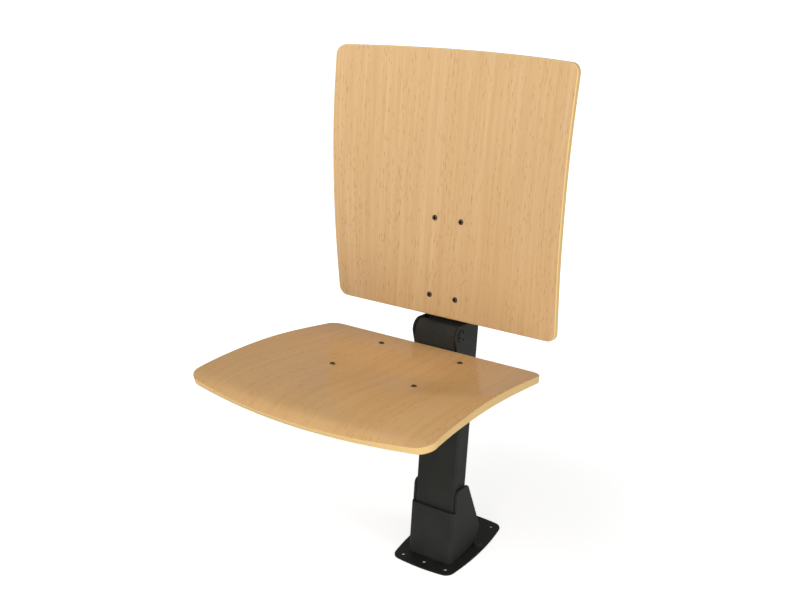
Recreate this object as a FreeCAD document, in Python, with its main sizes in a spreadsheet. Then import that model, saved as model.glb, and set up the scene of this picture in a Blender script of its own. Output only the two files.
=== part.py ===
import FreeCAD, Part
import math
import os
import types

import Sketcher

# Folding auditorium seat on a floor post: a moulded plywood seat that turns up about a pin at the
# head of a leaning steel tube, and a fixed moulded plywood back. Millimetres and degrees.
# The origin is on the floor, at the centre of the four corner anchor holes; the sitter faces -Y.

Vector = FreeCAD.Vector
Rotation = FreeCAD.Rotation

DRIVING_SIZES = {
    # Floor plate and its anchor holes
    "plate_thick": 3.0,
    "plate_corner_half_width": 59.5,
    "plate_side_bow": 9.0,
    "plate_end_bow": 5.0,
    "plate_end_margin": 13.5,
    "plate_corner_radius": 18.0,
    "anchor_half_width": 45.0,
    "anchor_row_pitch": 168.0,
    "anchor_hole_radius": 3.3,
    # Side bolts of the floor plate
    "side_bolt_half_width": 56.0,
    "side_bolt_behind_origin": 13.0,
    "side_bolt_radius": 3.5,
    "side_bolt_head_radius": 6.0,
    "side_bolt_head_height": 4.0,
    "side_washer_radius": 8.5,
    "side_washer_thick": 1.5,
    # Post tube
    "post_lean": 6.0,
    "post_forward": 44.0,
    "post_width": 80.0,
    "post_depth": 40.0,
    "post_wall": 3.0,
    "post_corner_radius": 5.0,
    "post_over_screws": 28.0,
    "cap_thick": 4.0,
    "cap_plug_depth": 12.0,
    "cap_plug_gap": 0.8,
    # Foot saddle
    "foot_wall": 5.0,
    "foot_gap": 0.5,
    "foot_front_height": 99.5,
    "foot_cheek_height": 141.5,
    "foot_cheek_top_back": 20.5,
    "foot_heel_back": 78.0,
    "foot_heel_height": 38.5,
    "foot_toe_back": 60.0,
    "foot_front_top_radius": 9.0,
    "foot_rear_top_radius": 8.0,
    "foot_bend_radius": 3.0,
    "foot_outer_bend_radius": 7.75,
    # Hinge head
    "hinge_height": 435.0,
    "hinge_forward": 43.0,
    "pin_radius": 8.0,
    "pin_fit": 0.02,
    "cheek_thick": 3.0,
    "cheek_nose_radius": 18.5,
    "cheek_back": 14.0,
    "cheek_slope_angle": 20.0,
    "pin_cap_radius": 11.0,
    "pin_cap_thick": 2.0,
    "dimple_radius": 1.6,
    "dimple_pitch_radius": 7.0,
    "dimple_depth": 1.2,
    "dimple_turn": 70.0,
    # Barrel, bushes and fold stop
    "barrel_radius": 16.5,
    "barrel_bore_radius": 11.0,
    "bush_length": 24.0,
    "bush_flange_radius": 15.0,
    "bush_flange_thick": 1.5,
    "bush_press_gap": 0.02,
    "running_gap": 0.05,
    "side_play": 0.3,
    "stop_pin_radius": 2.5,
    "stop_pin_reach": 15.2,
    "stop_pin_turn": 50.0,
    "stop_slot_gap": 0.4,
    "fold_angle": 80.0,
    # Seat carrier
    "leaf_half_width": 39.0,
    "leaf_thick": 5.0,
    "leaf_length": 170.0,
    "leaf_top_below_pin": 7.0,
    "leaf_bend_radius": 3.0,
    "rib_thick": 6.0,
    "rib_inner_half_width": 28.0,
    "rib_rear_depth": 24.0,
    "rib_front_depth": 10.0,
    "rib_front_setback": 5.0,
    "seat_plate_thick": 4.0,
    "seat_plate_margin": 20.0,
    "seat_plate_corner_radius": 12.0,
    "seat_pad_least": 2.0,
    "seat_pad_radius": 14.0,
    "buffer_half_width": 37.0,
    "buffer_height": 22.0,
    "buffer_thick": 10.0,
    "buffer_edge_radius": 2.5,
    "stop_gap": 0.3,
    # Plywood of both panels
    "ply_thick": 12.0,
    # Seat panel: stretches between its shaping lines, and rises of middle and sides over the rear edge
    "seat_drop": 22.6,
    "seat_rear_gap": 2.5,
    "seat_rear_half_width": 206.5,
    "seat_front_half_width": 216.0,
    "seat_front_bow": 26.0,
    "seat_corner_radius": 20.0,
    "seat_depth": 384.0,
    "seat_hollow_start_length": 72.0,
    "seat_hollow_start_middle": -4.5,
    "seat_hollow_start_side": 5.4,
    "seat_hollow_length": 73.0,
    "seat_hollow_middle": -7.8,
    "seat_hollow_side": 9.5,
    "seat_rise_length": 70.0,
    "seat_rise_middle": -3.4,
    "seat_rise_side": 9.9,
    "seat_crest_middle": 0.6,
    "seat_crest_side": 6.0,
    "seat_brow_length": 40.0,
    "seat_brow_middle": -0.6,
    "seat_brow_side": 2.2,
    "seat_lip_length": 25.0,
    "seat_lip_middle": -3.6,
    "seat_lip_side": -1.0,
    "seat_nose_length": 20.0,
    "seat_nose_middle": -9.2,
    "seat_nose_side": -4.8,
    "seat_front_length": 14.0,
    "seat_front_middle": -20.0,
    "seat_front_side": -9.3,
    # Back panel: backward lean of the middle line and forward wrap of the side edges
    "back_rise": 24.7,
    "back_height": 441.0,
    "back_low_half_width": 212.0,
    "back_top_half_width": 220.0,
    "back_top_crown": 5.0,
    "back_corner_radius": 16.0,
    "back_quarter_lean": 0.6,
    "back_quarter_wrap": 19.2,
    "back_middle_lean": 2.0,
    "back_middle_wrap": 32.5,
    "back_upper_lean": 4.4,
    "back_upper_wrap": 39.0,
    "back_top_lean": 8.1,
    "back_top_wrap": 38.2,
    "back_plate_thick": 5.0,
    "back_plate_half_width": 38.0,
    "back_plate_margin": 22.0,
    "back_plate_corner_radius": 6.0,
    "back_pad_thick": 6.2,
    "back_pad_radius": 11.0,
    # Panel screws and nuts
    "screw_radius": 3.0,
    "screw_hole_gap": 0.3,
    "screw_head_radius": 5.0,
    "screw_head_top_radius": 3.2,
    "screw_head_height": 2.6,
    "screw_head_sink": 1.0,
    "screw_end": 2.0,
    "nut_flats": 10.0,
    "nut_height": 5.0,
    "nut_thread_gap": 0.05,
    "seat_screw_half_width": 77.0,
    "seat_screw_from_rear": 41.0,
    "seat_screw_pitch": 138.0,
    "back_screw_half_width": 25.0,
    "back_screw_low": 35.2,
    "back_screw_pitch": 132.0,
}


class Size:
    """A size of the sheet, or one worked out from several: its value and its expression."""

    def __init__(self, value, text):
        self.value = value
        self.text = text

    def joined(self, sign, other, value):
        other_text = other.text if isinstance(other, Size) else repr(other)
        return Size(value, f"({self.text} {sign} {other_text})")

    def __add__(self, other):
        return self.joined("+", other, self.value + plain(other))

    def __sub__(self, other):
        return self.joined("-", other, self.value - plain(other))

    def __mul__(self, other):
        return self.joined("*", other, self.value * plain(other))

    def __truediv__(self, other):
        return self.joined("/", other, self.value / plain(other))

    def __neg__(self):
        return self * -1


def plain(size):
    """Number behind a size, or the number itself."""
    return size.value if isinstance(size, Size) else size


def trig(name, angle):
    """Sine, cosine or tangent of an angle of the sheet."""
    return Size(getattr(math, name)(math.radians(angle.value)), f"{name}({angle.text} * 1 deg)")


doc = FreeCAD.newDocument("folding_seat")
sheet = doc.addObject("Spreadsheet::Sheet", "sizes")
for row, (alias, number) in enumerate(DRIVING_SIZES.items(), start=1):
    sheet.set(f"A{row}", alias)
    sheet.set(f"B{row}", str(number))
    sheet.setAlias(f"B{row}", alias)
doc.recompute()
dim = types.SimpleNamespace(**{
    alias: Size(number, f"sizes.{alias}") for alias, number in DRIVING_SIZES.items()})
nodes = []


def bind(item, path, size):
    """Tie a property to a size of the sheet, or leave a plain number in it."""
    if isinstance(size, Size):
        item.setExpression(path, size.text)


def node(item, label):
    """Keep an object as a finished sub-part under its own name."""
    item.Label = label
    nodes.append(item)
    return item


def on_post(item):
    """Stand a piece made in the post's own frame on the floor: the post leans back about X."""
    item.Placement = FreeCAD.Placement(
        Vector(0, -dim.post_forward.value, 0), Rotation(Vector(-1, 0, 0), dim.post_lean.value))
    bind(item, "Placement.Base.y", -dim.post_forward)
    bind(item, "Placement.Rotation.Angle", dim.post_lean)
    return item


def sketch(body, name, plane, offset=None):
    """Sketch on one of the body's own origin planes, moved along the plane's normal."""
    drawn = body.newObject("Sketcher::SketchObject", name)
    face = next(item for item in body.Origin.OriginFeatures if item.Role == plane)
    drawn.AttachmentSupport = [(face, "")]
    drawn.MapMode = "FlatFace"
    if offset is not None:
        drawn.AttachmentOffset = FreeCAD.Placement(Vector(0, 0, plain(offset)), Rotation())
        bind(drawn, "AttachmentOffset.Base.z", offset)
    return drawn


def pin_point(drawn, geometry, end, spot):
    """Hold a point of a sketch at a spot measured from the sketch's origin."""
    for kind, axis, size in (("DistanceX", -2, spot[0]), ("DistanceY", -1, spot[1])):
        if isinstance(size, Size):
            held = Sketcher.Constraint(kind, -1, 1, geometry, end, size.value)
            bind(drawn, f"Constraints[{drawn.addConstraint(held)}]", size)
        else:
            drawn.addConstraint(Sketcher.Constraint("PointOnObject", geometry, end, axis))


def flat_point(spot):
    return Vector(plain(spot[0]), plain(spot[1]), 0)


def outline(drawn, corners, bows=None):
    """Closed outline, anticlockwise; a side with a bow is an arc that stands out by that much."""
    bows = bows or {}
    first = drawn.GeometryCount
    count = len(corners)
    for side, (start, end) in enumerate(zip(corners, corners[1:] + corners[:1])):
        begin, finish = flat_point(start), flat_point(end)
        if side in bows:
            run_x, run_y = end[0] - start[0], end[1] - start[1]
            bow = bows[side]
            radius = (run_x * run_x + run_y * run_y) / (bow * 8) + bow / 2
            chord = finish - begin
            inward = Vector(-chord.y, chord.x, 0).normalize()
            centre = (begin + finish) / 2 + inward * (radius.value - bow.value)
            from_angle = math.atan2(begin.y - centre.y, begin.x - centre.x)
            to_angle = math.atan2(finish.y - centre.y, finish.x - centre.x)
            ring = Part.Circle(centre, Vector(0, 0, 1), radius.value)
            drawn.addGeometry(Part.ArcOfCircle(ring, from_angle, to_angle))
            held = Sketcher.Constraint("Radius", first + side, radius.value)
            bind(drawn, f"Constraints[{drawn.addConstraint(held)}]", radius)
        else:
            drawn.addGeometry(Part.LineSegment(begin, finish))
    for side, corner in enumerate(corners):
        follower = first + (side + 1) % count
        drawn.addConstraint(Sketcher.Constraint("Coincident", first + side, 2, follower, 1))
        pin_point(drawn, first + side, 1, corner)


def rectangle(drawn, left, right, low, high):
    outline(drawn, [(left, low), (right, low), (right, high), (left, high)])


def circle(drawn, spot, radius):
    """Round hole or disc held by its centre and radius."""
    ring = drawn.addGeometry(Part.Circle(flat_point(spot), Vector(0, 0, 1), radius.value))
    pin_point(drawn, ring, 3, spot)
    held = Sketcher.Constraint("Radius", ring, radius.value)
    bind(drawn, f"Constraints[{drawn.addConstraint(held)}]", radius)


def pad(body, drawn, length, both_ways=False, backwards=False):
    solid = body.newObject("PartDesign::Pad", f"{drawn.Name}_pad")
    solid.Profile = drawn
    solid.SideType = "Symmetric" if both_ways else "One side"
    solid.Reversed = backwards
    bind(solid, "Length", length)
    doc.recompute()


def pocket(body, drawn, length, both_ways=False, backwards=False):
    """Cut a sketch into the body, and make sure that it took something away."""
    before = body.Shape.Volume
    hollow = body.newObject("PartDesign::Pocket", f"{drawn.Name}_cut")
    hollow.Profile = drawn
    hollow.SideType = "Symmetric" if both_ways else "One side"
    hollow.Reversed = backwards
    bind(hollow, "Length", length)
    doc.recompute()
    if body.Shape.Volume >= before:
        raise RuntimeError(f"{drawn.Name} cuts nothing")


def fillet(body, name, radius, chosen):
    """Round the body's edges whose middle point is chosen."""
    tip = body.Tip
    edges = [f"Edge{index}" for index, edge in enumerate(tip.Shape.Edges, start=1)
             if chosen(edge.valueAt((edge.FirstParameter + edge.LastParameter) / 2), edge)]
    rounded = body.newObject("PartDesign::Fillet", name)
    rounded.Base = (tip, edges)
    bind(rounded, "Radius", radius)
    doc.recompute()


def near(number, size):
    """Whether a coordinate lies on a plane of the model."""
    return abs(number - plain(size)) < 1e-4


def upright(edge):
    """Whether an edge runs along Z."""
    return edge.BoundBox.XLength < 1e-4 and edge.BoundBox.YLength < 1e-4


def rod(name, radius, length, start, turn):
    """Round bar from a starting point; turn takes +Z to the bar's direction."""
    bar = doc.addObject("Part::Cylinder", name)
    bar.Placement = FreeCAD.Placement(Vector(*[plain(part) for part in start]), turn)
    bind(bar, "Radius", radius)
    bind(bar, "Height", length)
    for axis, part in zip("xyz", start):
        bind(bar, f"Placement.Base.{axis}", part)
    return bar


def cut(name, base, *tools):
    """Boolean cut of one object by others."""
    for count, tool in enumerate(tools, start=1):
        rest = doc.addObject("Part::Cut", f"{name}_{count}")
        rest.Base = base
        rest.Tool = tool
        base = rest
    return base


def fuse(name, base, tool):
    whole = doc.addObject("Part::Fuse", name)
    whole.Base = base
    whole.Tool = tool
    return whole


def together(name, pieces):
    """Several separate solids kept as one sub-part."""
    kept = doc.addObject("Part::Compound", name)
    kept.Links = pieces
    return kept


def feature(name, shape):
    """Sub-part whose shape is worked out here from the sizes of the sheet."""
    made = doc.addObject("Part::Feature", name)
    made.Shape = shape
    return made


ALONG_X = Rotation(Vector(0, 1, 0), 90)
ALONG_UP = Rotation()
SIDES = {"left": -1, "right": 1}
FULL_TURN = 360
QUARTER_TURN = 90
NUT_SIDES = 6
SEAT_STRIPS = 24

# Floor plate with bowed edges, six anchor holes and two holes for the side bolts
anchor_row = dim.anchor_row_pitch / 2
plate_end = anchor_row + dim.plate_end_margin
plate_body = node(doc.addObject("PartDesign::Body", "base_plate"), "base_plate")
plate_sketch = sketch(plate_body, "plate_outline", "XY_Plane")
outline(
    plate_sketch,
    [(-dim.plate_corner_half_width, -plate_end), (dim.plate_corner_half_width, -plate_end),
     (dim.plate_corner_half_width, plate_end), (-dim.plate_corner_half_width, plate_end)],
    {0: dim.plate_end_bow, 1: dim.plate_side_bow, 2: dim.plate_end_bow, 3: dim.plate_side_bow})
for row_place in (-anchor_row, anchor_row):
    for hole_place in (-dim.anchor_half_width, 0, dim.anchor_half_width):
        circle(plate_sketch, (hole_place, row_place), dim.anchor_hole_radius)
for sign in SIDES.values():
    circle(plate_sketch, (dim.side_bolt_half_width * sign, dim.side_bolt_behind_origin),
           dim.side_bolt_radius + dim.screw_hole_gap)
pad(plate_body, plate_sketch, dim.plate_thick)
fillet(plate_body, "plate_corners", dim.plate_corner_radius,
       lambda middle, edge: upright(edge) and near(abs(middle.y), plate_end))

# Side bolts of the plate with their washers; they end at the floor
washers = []
bolts = []
for side, sign in SIDES.items():
    bolt_x = dim.side_bolt_half_width * sign
    bolt_y = dim.side_bolt_behind_origin
    washer_top = dim.plate_thick + dim.side_washer_thick
    disc = rod(f"washer_disc_{side}", dim.side_washer_radius, dim.side_washer_thick,
               (bolt_x, bolt_y, dim.plate_thick), ALONG_UP)
    bore = rod(f"washer_bore_{side}", dim.side_bolt_radius + dim.screw_hole_gap,
               dim.side_washer_thick, (bolt_x, bolt_y, dim.plate_thick), ALONG_UP)
    washers.append(cut(f"washer_{side}", disc, bore))
    shank = rod(f"bolt_shank_{side}", dim.side_bolt_radius, washer_top, (bolt_x, bolt_y, 0), ALONG_UP)
    head = rod(f"bolt_head_{side}", dim.side_bolt_head_radius, dim.side_bolt_head_height,
               (bolt_x, bolt_y, washer_top), ALONG_UP)
    bolts.append(fuse(f"side_bolt_{side}", shank, head))
node(together("washer_pair", washers), "side_bolt_washers")
node(together("bolt_pair", bolts), "side_bolts")


def floor_at(place_y):
    """Height of the plate's top face, in the post's frame, at a place along the post's depth."""
    lean = dim.post_lean
    return dim.plate_thick / trig("cos", lean) + place_y * trig("tan", lean)


# Foot saddle: plate bent round the post, low in front, with two high cheeks and a sloping rear
foot_inner = dim.post_depth / 2 + dim.foot_gap
foot_outer = foot_inner + dim.foot_wall
foot_inner_half = dim.post_width / 2 + dim.foot_gap
foot_outer_half = foot_inner_half + dim.foot_wall
foot_body = node(on_post(doc.addObject("PartDesign::Body", "foot_saddle")), "foot_saddle")
foot_side = sketch(foot_body, "foot_side", "YZ_Plane")
outline(foot_side, [
    (-foot_outer, floor_at(-foot_outer)), (dim.foot_toe_back, floor_at(dim.foot_toe_back)),
    (dim.foot_heel_back, dim.foot_heel_height), (dim.foot_cheek_top_back, dim.foot_cheek_height),
    (-foot_inner, dim.foot_cheek_height), (-foot_inner, dim.foot_front_height),
    (-foot_outer, dim.foot_front_height)])
pad(foot_body, foot_side, foot_outer_half * 2, both_ways=True)
fillet(foot_body, "foot_rear_round", dim.foot_rear_top_radius,
       lambda middle, edge: near(middle.z, dim.foot_cheek_height)
       and near(middle.y, dim.foot_cheek_top_back))
fillet(foot_body, "foot_front_round", dim.foot_front_top_radius,
       lambda middle, edge: near(middle.z, dim.foot_cheek_height) and near(middle.y, -foot_inner))
foot_channel = sketch(foot_body, "foot_channel", "XY_Plane")
rectangle(foot_channel, -foot_inner_half, foot_inner_half, -foot_inner, dim.foot_heel_back * 2)
pocket(foot_body, foot_channel, dim.foot_cheek_height * 3, both_ways=True)
fillet(foot_body, "foot_inner_bend", dim.foot_bend_radius,
       lambda middle, edge: upright(edge) and near(middle.y, -foot_inner)
       and near(abs(middle.x), foot_inner_half) and middle.z < dim.foot_front_height.value)
fillet(foot_body, "foot_outer_bend", dim.foot_outer_bend_radius,
       lambda middle, edge: upright(edge) and near(middle.y, -foot_outer)
       and near(abs(middle.x), foot_outer_half))

# Post tube: rectangular, cut level with the plate, with holes in front for the back's screws
back_low = dim.hinge_height + dim.back_rise
back_screw_rows = (back_low + dim.back_screw_low,
                   back_low + dim.back_screw_low + dim.back_screw_pitch)
screw_hole = dim.screw_radius + dim.screw_hole_gap
post_front = -(dim.post_depth / 2)
post_half = dim.post_width / 2
post_top = back_screw_rows[1] + dim.post_over_screws
post_body = node(on_post(doc.addObject("PartDesign::Body", "post_tube")), "post_tube")
post_side = sketch(post_body, "post_side", "YZ_Plane")
outline(post_side, [(post_front, floor_at(post_front)), (-post_front, floor_at(-post_front)),
                    (-post_front, post_top), (post_front, post_top)])
pad(post_body, post_side, dim.post_width, both_ways=True)
fillet(post_body, "post_outer_corners", dim.post_corner_radius,
       lambda middle, edge: upright(edge))
post_bore = sketch(post_body, "post_bore", "XY_Plane")
rectangle(post_bore, dim.post_wall - post_half, post_half - dim.post_wall,
          post_front + dim.post_wall, -post_front - dim.post_wall)
pocket(post_body, post_bore, post_top * 3, both_ways=True)
fillet(post_body, "post_inner_corners", dim.post_corner_radius - dim.post_wall,
       lambda middle, edge: upright(edge) and near(abs(middle.x), post_half - dim.post_wall)
       and near(abs(middle.y), -post_front - dim.post_wall))
post_holes = sketch(post_body, "post_holes", "XZ_Plane")
for row_place in back_screw_rows:
    for sign in SIDES.values():
        circle(post_holes, (dim.back_screw_half_width * sign, row_place), screw_hole)
pocket(post_body, post_holes, dim.post_depth, backwards=True)

# Post cap: lid with a plug that closes the top of the tube
cap_body = node(on_post(doc.addObject("PartDesign::Body", "post_cap")), "post_cap")
cap_lid = sketch(cap_body, "cap_lid", "XY_Plane", post_top)
rectangle(cap_lid, -post_half, post_half, post_front, -post_front)
pad(cap_body, cap_lid, dim.cap_thick)
fillet(cap_body, "cap_corners", dim.post_corner_radius, lambda middle, edge: upright(edge))
cap_plug = sketch(cap_body, "cap_plug", "XY_Plane", post_top)
plug_inset = dim.post_wall + dim.cap_plug_gap
rectangle(cap_plug, plug_inset - post_half, post_half - plug_inset,
          post_front + plug_inset, -post_front - plug_inset)
pad(cap_body, cap_plug, dim.cap_plug_depth, backwards=True)

# Hinge cheeks: plates on both sides of the post, with a round nose about the pin and a front edge
# that slopes from the nose down to the post
hinge_y = -dim.hinge_forward
slope_y = hinge_y - dim.cheek_nose_radius * trig("cos", dim.cheek_slope_angle)
slope_z = dim.hinge_height - dim.cheek_nose_radius * trig("sin", dim.cheek_slope_angle)
cheek_low = slope_z - (post_front - slope_y) / trig("tan", dim.cheek_slope_angle)
for side, sign in SIDES.items():
    cheek_body = node(on_post(doc.addObject("PartDesign::Body", f"hinge_cheek_{side}")),
                      f"hinge_cheek_{side}")
    inner_face = post_half if sign > 0 else -post_half - dim.cheek_thick
    cheek_side = sketch(cheek_body, f"cheek_side_{side}", "YZ_Plane", inner_face)
    outline(cheek_side, [
        (slope_y, slope_z), (post_front, cheek_low), (dim.cheek_back, cheek_low),
        (dim.cheek_back, dim.hinge_height + dim.cheek_nose_radius),
        (hinge_y, dim.hinge_height + dim.cheek_nose_radius)])
    pad(cheek_body, cheek_side, dim.cheek_thick)
    cheek_nose = sketch(cheek_body, f"cheek_nose_{side}", "YZ_Plane", inner_face)
    circle(cheek_nose, (hinge_y, dim.hinge_height), dim.cheek_nose_radius)
    pad(cheek_body, cheek_nose, dim.cheek_thick)
    cheek_hole = sketch(cheek_body, f"cheek_hole_{side}", "YZ_Plane")
    circle(cheek_hole, (hinge_y, dim.hinge_height), dim.pin_radius + dim.pin_fit)
    pocket(cheek_body, cheek_hole, dim.post_width * 2, both_ways=True)

# Hinge pin through both cheeks, with a cross hole for the fold stop
pin_half = post_half + dim.cheek_thick
pin_bar = rod("pin_bar", dim.pin_radius, pin_half * 2, (-pin_half, hinge_y, dim.hinge_height), ALONG_X)


def stop_bar(name, radius, start, end):
    """Bar square to the pin, between two distances from the pin's axis, low on the post's side."""
    away = trig("cos", dim.stop_pin_turn)
    down = trig("sin", dim.stop_pin_turn)
    turn = dim.stop_pin_turn + QUARTER_TURN
    bar = rod(name, radius, end - start,
              (0, hinge_y + away * start, dim.hinge_height - down * start),
              Rotation(Vector(-1, 0, 0), turn.value))
    bind(bar, "Placement.Rotation.Angle", turn)
    return bar


pin_cross_hole = stop_bar("pin_cross_hole", dim.stop_pin_radius + dim.pin_fit,
                          -dim.pin_radius * 2, dim.pin_radius * 2)
node(on_post(cut("pin", pin_bar, pin_cross_hole)), "hinge_pin")
node(on_post(together("stop_pin", [
    stop_bar("stop_pin_bar", dim.stop_pin_radius, -(dim.pin_radius / 2), dim.stop_pin_reach)])),
    "fold_stop_pin")

# Pin caps: discs on the cheeks, each with three dimples for the assembly key
DIMPLE_COUNT = 3
for side, sign in SIDES.items():
    low_face = pin_half if sign > 0 else -pin_half - dim.pin_cap_thick
    dimple_face = (pin_half + dim.pin_cap_thick - dim.dimple_depth) if sign > 0 \
        else -pin_half - dim.pin_cap_thick
    disc = rod(f"cap_disc_{side}", dim.pin_cap_radius, dim.pin_cap_thick,
               (low_face, hinge_y, dim.hinge_height), ALONG_X)
    dimples = []
    for third in range(DIMPLE_COUNT):
        angle = dim.dimple_turn + third * (FULL_TURN / DIMPLE_COUNT)
        dimples.append(rod(
            f"dimple_{side}_{third}", dim.dimple_radius, dim.dimple_depth,
            (dimple_face, hinge_y + dim.dimple_pitch_radius * trig("cos", angle),
             dim.hinge_height + dim.dimple_pitch_radius * trig("sin", angle)), ALONG_X))
    node(on_post(cut(f"pin_cap_{side}", disc, *dimples)), f"pin_cap_{side}")

# Hinge barrel: tube round the pin with a slot for the fold stop
barrel_half = post_half - dim.side_play - dim.bush_flange_thick
barrel_tube = rod("barrel_tube", dim.barrel_radius, barrel_half * 2,
                  (-barrel_half, hinge_y, dim.hinge_height), ALONG_X)
barrel_bore = rod("barrel_bore", dim.barrel_bore_radius, barrel_half * 2,
                  (-barrel_half, hinge_y, dim.hinge_height), ALONG_X)
slot_half = dim.stop_pin_radius + dim.stop_slot_gap
slot_margin = slot_half / dim.barrel_bore_radius * (180 / math.pi)
slot_wedge = rod("slot_wedge", dim.barrel_radius * 2, slot_half * 2, (-slot_half, 0, 0),
                 Rotation(Vector(1, 1, 1), 120))
bind(slot_wedge, "Angle", dim.fold_angle + slot_margin * 2)
slot_start = dim.stop_pin_turn + slot_margin
stop_slot = together("stop_slot", [slot_wedge])
stop_slot.Placement = FreeCAD.Placement(Vector(0, hinge_y.value, dim.hinge_height.value),
                                        Rotation(Vector(-1, 0, 0), slot_start.value))
bind(stop_slot, "Placement.Base.y", hinge_y)
bind(stop_slot, "Placement.Base.z", dim.hinge_height)
bind(stop_slot, "Placement.Rotation.Angle", slot_start)
node(on_post(cut("barrel", barrel_tube, barrel_bore, stop_slot)), "hinge_barrel")

# Flanged bushes pressed into the barrel; they turn on the pin and keep it off the cheeks
for side, sign in SIDES.items():
    sleeve_start = (barrel_half - dim.bush_length) if sign > 0 else -barrel_half
    flange_start = barrel_half if sign > 0 else -barrel_half - dim.bush_flange_thick
    bore_start = sleeve_start if sign > 0 else flange_start
    sleeve = rod(f"sleeve_{side}", dim.barrel_bore_radius - dim.bush_press_gap, dim.bush_length,
                 (sleeve_start, hinge_y, dim.hinge_height), ALONG_X)
    flange = rod(f"flange_{side}", dim.bush_flange_radius, dim.bush_flange_thick,
                 (flange_start, hinge_y, dim.hinge_height), ALONG_X)
    bore = rod(f"bush_bore_{side}", dim.pin_radius + dim.running_gap,
               dim.bush_length + dim.bush_flange_thick,
               (bore_start, hinge_y, dim.hinge_height), ALONG_X)
    node(on_post(cut(f"bush_{side}", fuse(f"bush_blank_{side}", sleeve, flange), bore)),
         f"hinge_bush_{side}")

# Heights and depths of the seat carrier, from the lowest part of the panel downwards
seat_rear_height = dim.hinge_height - dim.seat_drop
seat_plate_top = seat_rear_height + dim.seat_hollow_middle - dim.ply_thick - dim.seat_pad_least
leaf_top = seat_plate_top - dim.seat_plate_thick
leaf_bottom = leaf_top - dim.leaf_thick
leaf_front_face = hinge_y - dim.barrel_radius
leaf_rear_face = leaf_front_face + dim.leaf_thick
leaf_end = leaf_front_face - dim.leaf_length
seat_rear = leaf_front_face - dim.seat_rear_gap
hollow_start_line = dim.seat_hollow_start_length
hollow_line = hollow_start_line + dim.seat_hollow_length
rise_line = hollow_line + dim.seat_rise_length
nose_line = dim.seat_depth - dim.seat_front_length
lip_line = nose_line - dim.seat_nose_length
brow_line = lip_line - dim.seat_lip_length
crest_line = brow_line - dim.seat_brow_length


def barrel_clearance(body, name):
    """Hollow the end of a carrier piece to the barrel that it is welded to."""
    seat = sketch(body, name, "YZ_Plane")
    circle(seat, (hinge_y, dim.hinge_height), dim.barrel_radius)
    pocket(body, seat, dim.post_width * 2, both_ways=True)


# Hinge leaf: bent plate from the barrel down and forward under the seat plate
leaf_body = node(on_post(doc.addObject("PartDesign::Body", "hinge_leaf")), "hinge_leaf")
leaf_side = sketch(leaf_body, "leaf_side", "YZ_Plane")
leaf_peak = dim.hinge_height - dim.leaf_top_below_pin
outline(leaf_side, [
    (leaf_end, leaf_bottom), (leaf_rear_face, leaf_bottom), (leaf_rear_face, leaf_peak),
    (leaf_front_face, leaf_peak), (leaf_front_face, leaf_top), (leaf_end, leaf_top)])
pad(leaf_body, leaf_side, dim.leaf_half_width * 2, both_ways=True)
fillet(leaf_body, "leaf_inner_bend", dim.leaf_bend_radius,
       lambda middle, edge: near(middle.y, leaf_front_face) and near(middle.z, leaf_top))
fillet(leaf_body, "leaf_outer_bend", dim.leaf_bend_radius + dim.leaf_thick,
       lambda middle, edge: near(middle.y, leaf_rear_face) and near(middle.z, leaf_bottom))
barrel_clearance(leaf_body, "leaf_barrel_seat")

# Ribs: flat bars on edge under the leaf, from the barrel and the stop buffer to the front
rib_rear = post_front - dim.buffer_thick - dim.stop_gap
rib_low = leaf_bottom - dim.rib_rear_depth
for side, sign in SIDES.items():
    rib_body = node(on_post(doc.addObject("PartDesign::Body", f"seat_rib_{side}")),
                    f"seat_rib_{side}")
    rib_inner = dim.rib_inner_half_width if sign > 0 else -dim.rib_inner_half_width - dim.rib_thick
    rib_side = sketch(rib_body, f"rib_side_{side}", "YZ_Plane", rib_inner)
    rib_front = leaf_end + dim.rib_front_setback
    outline(rib_side, [
        (rib_front, leaf_bottom - dim.rib_front_depth), (rib_rear, rib_low),
        (rib_rear, dim.hinge_height), (leaf_rear_face, dim.hinge_height),
        (leaf_rear_face, leaf_bottom), (rib_front, leaf_bottom)])
    pad(rib_body, rib_side, dim.rib_thick)
    barrel_clearance(rib_body, f"rib_barrel_seat_{side}")

# Seat plate: flat plate under the panel with a hole for each seat screw
seat_screw_rows = (seat_rear - dim.seat_screw_from_rear,
                   seat_rear - dim.seat_screw_from_rear - dim.seat_screw_pitch)
seat_plate_half = dim.seat_screw_half_width + dim.seat_plate_margin
seat_plate_rear = seat_screw_rows[0] + dim.seat_plate_margin
seat_plate_front = seat_screw_rows[1] - dim.seat_plate_margin
carrier_body = node(on_post(doc.addObject("PartDesign::Body", "seat_plate")), "seat_plate")
carrier_plan = sketch(carrier_body, "carrier_plan", "XY_Plane", leaf_top)
rectangle(carrier_plan, -seat_plate_half, seat_plate_half, seat_plate_front, seat_plate_rear)
for row_place in seat_screw_rows:
    for sign in SIDES.values():
        circle(carrier_plan, (dim.seat_screw_half_width * sign, row_place), screw_hole)
pad(carrier_body, carrier_plan, dim.seat_plate_thick)
fillet(carrier_body, "carrier_corners", dim.seat_plate_corner_radius,
       lambda middle, edge: upright(edge) and near(abs(middle.x), seat_plate_half))

# Stop buffer: rubber block bonded to the post, on which the ribs rest when the seat is down
buffer_body = node(on_post(doc.addObject("PartDesign::Body", "stop_buffer")), "stop_buffer")
buffer_plan = sketch(buffer_body, "buffer_plan", "XY_Plane", rib_low)
rectangle(buffer_plan, -dim.buffer_half_width, dim.buffer_half_width,
          post_front - dim.buffer_thick, post_front)
pad(buffer_body, buffer_plan, dim.buffer_height)
fillet(buffer_body, "buffer_edges", dim.buffer_edge_radius,
       lambda middle, edge: near(middle.y, post_front - dim.buffer_thick))

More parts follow.
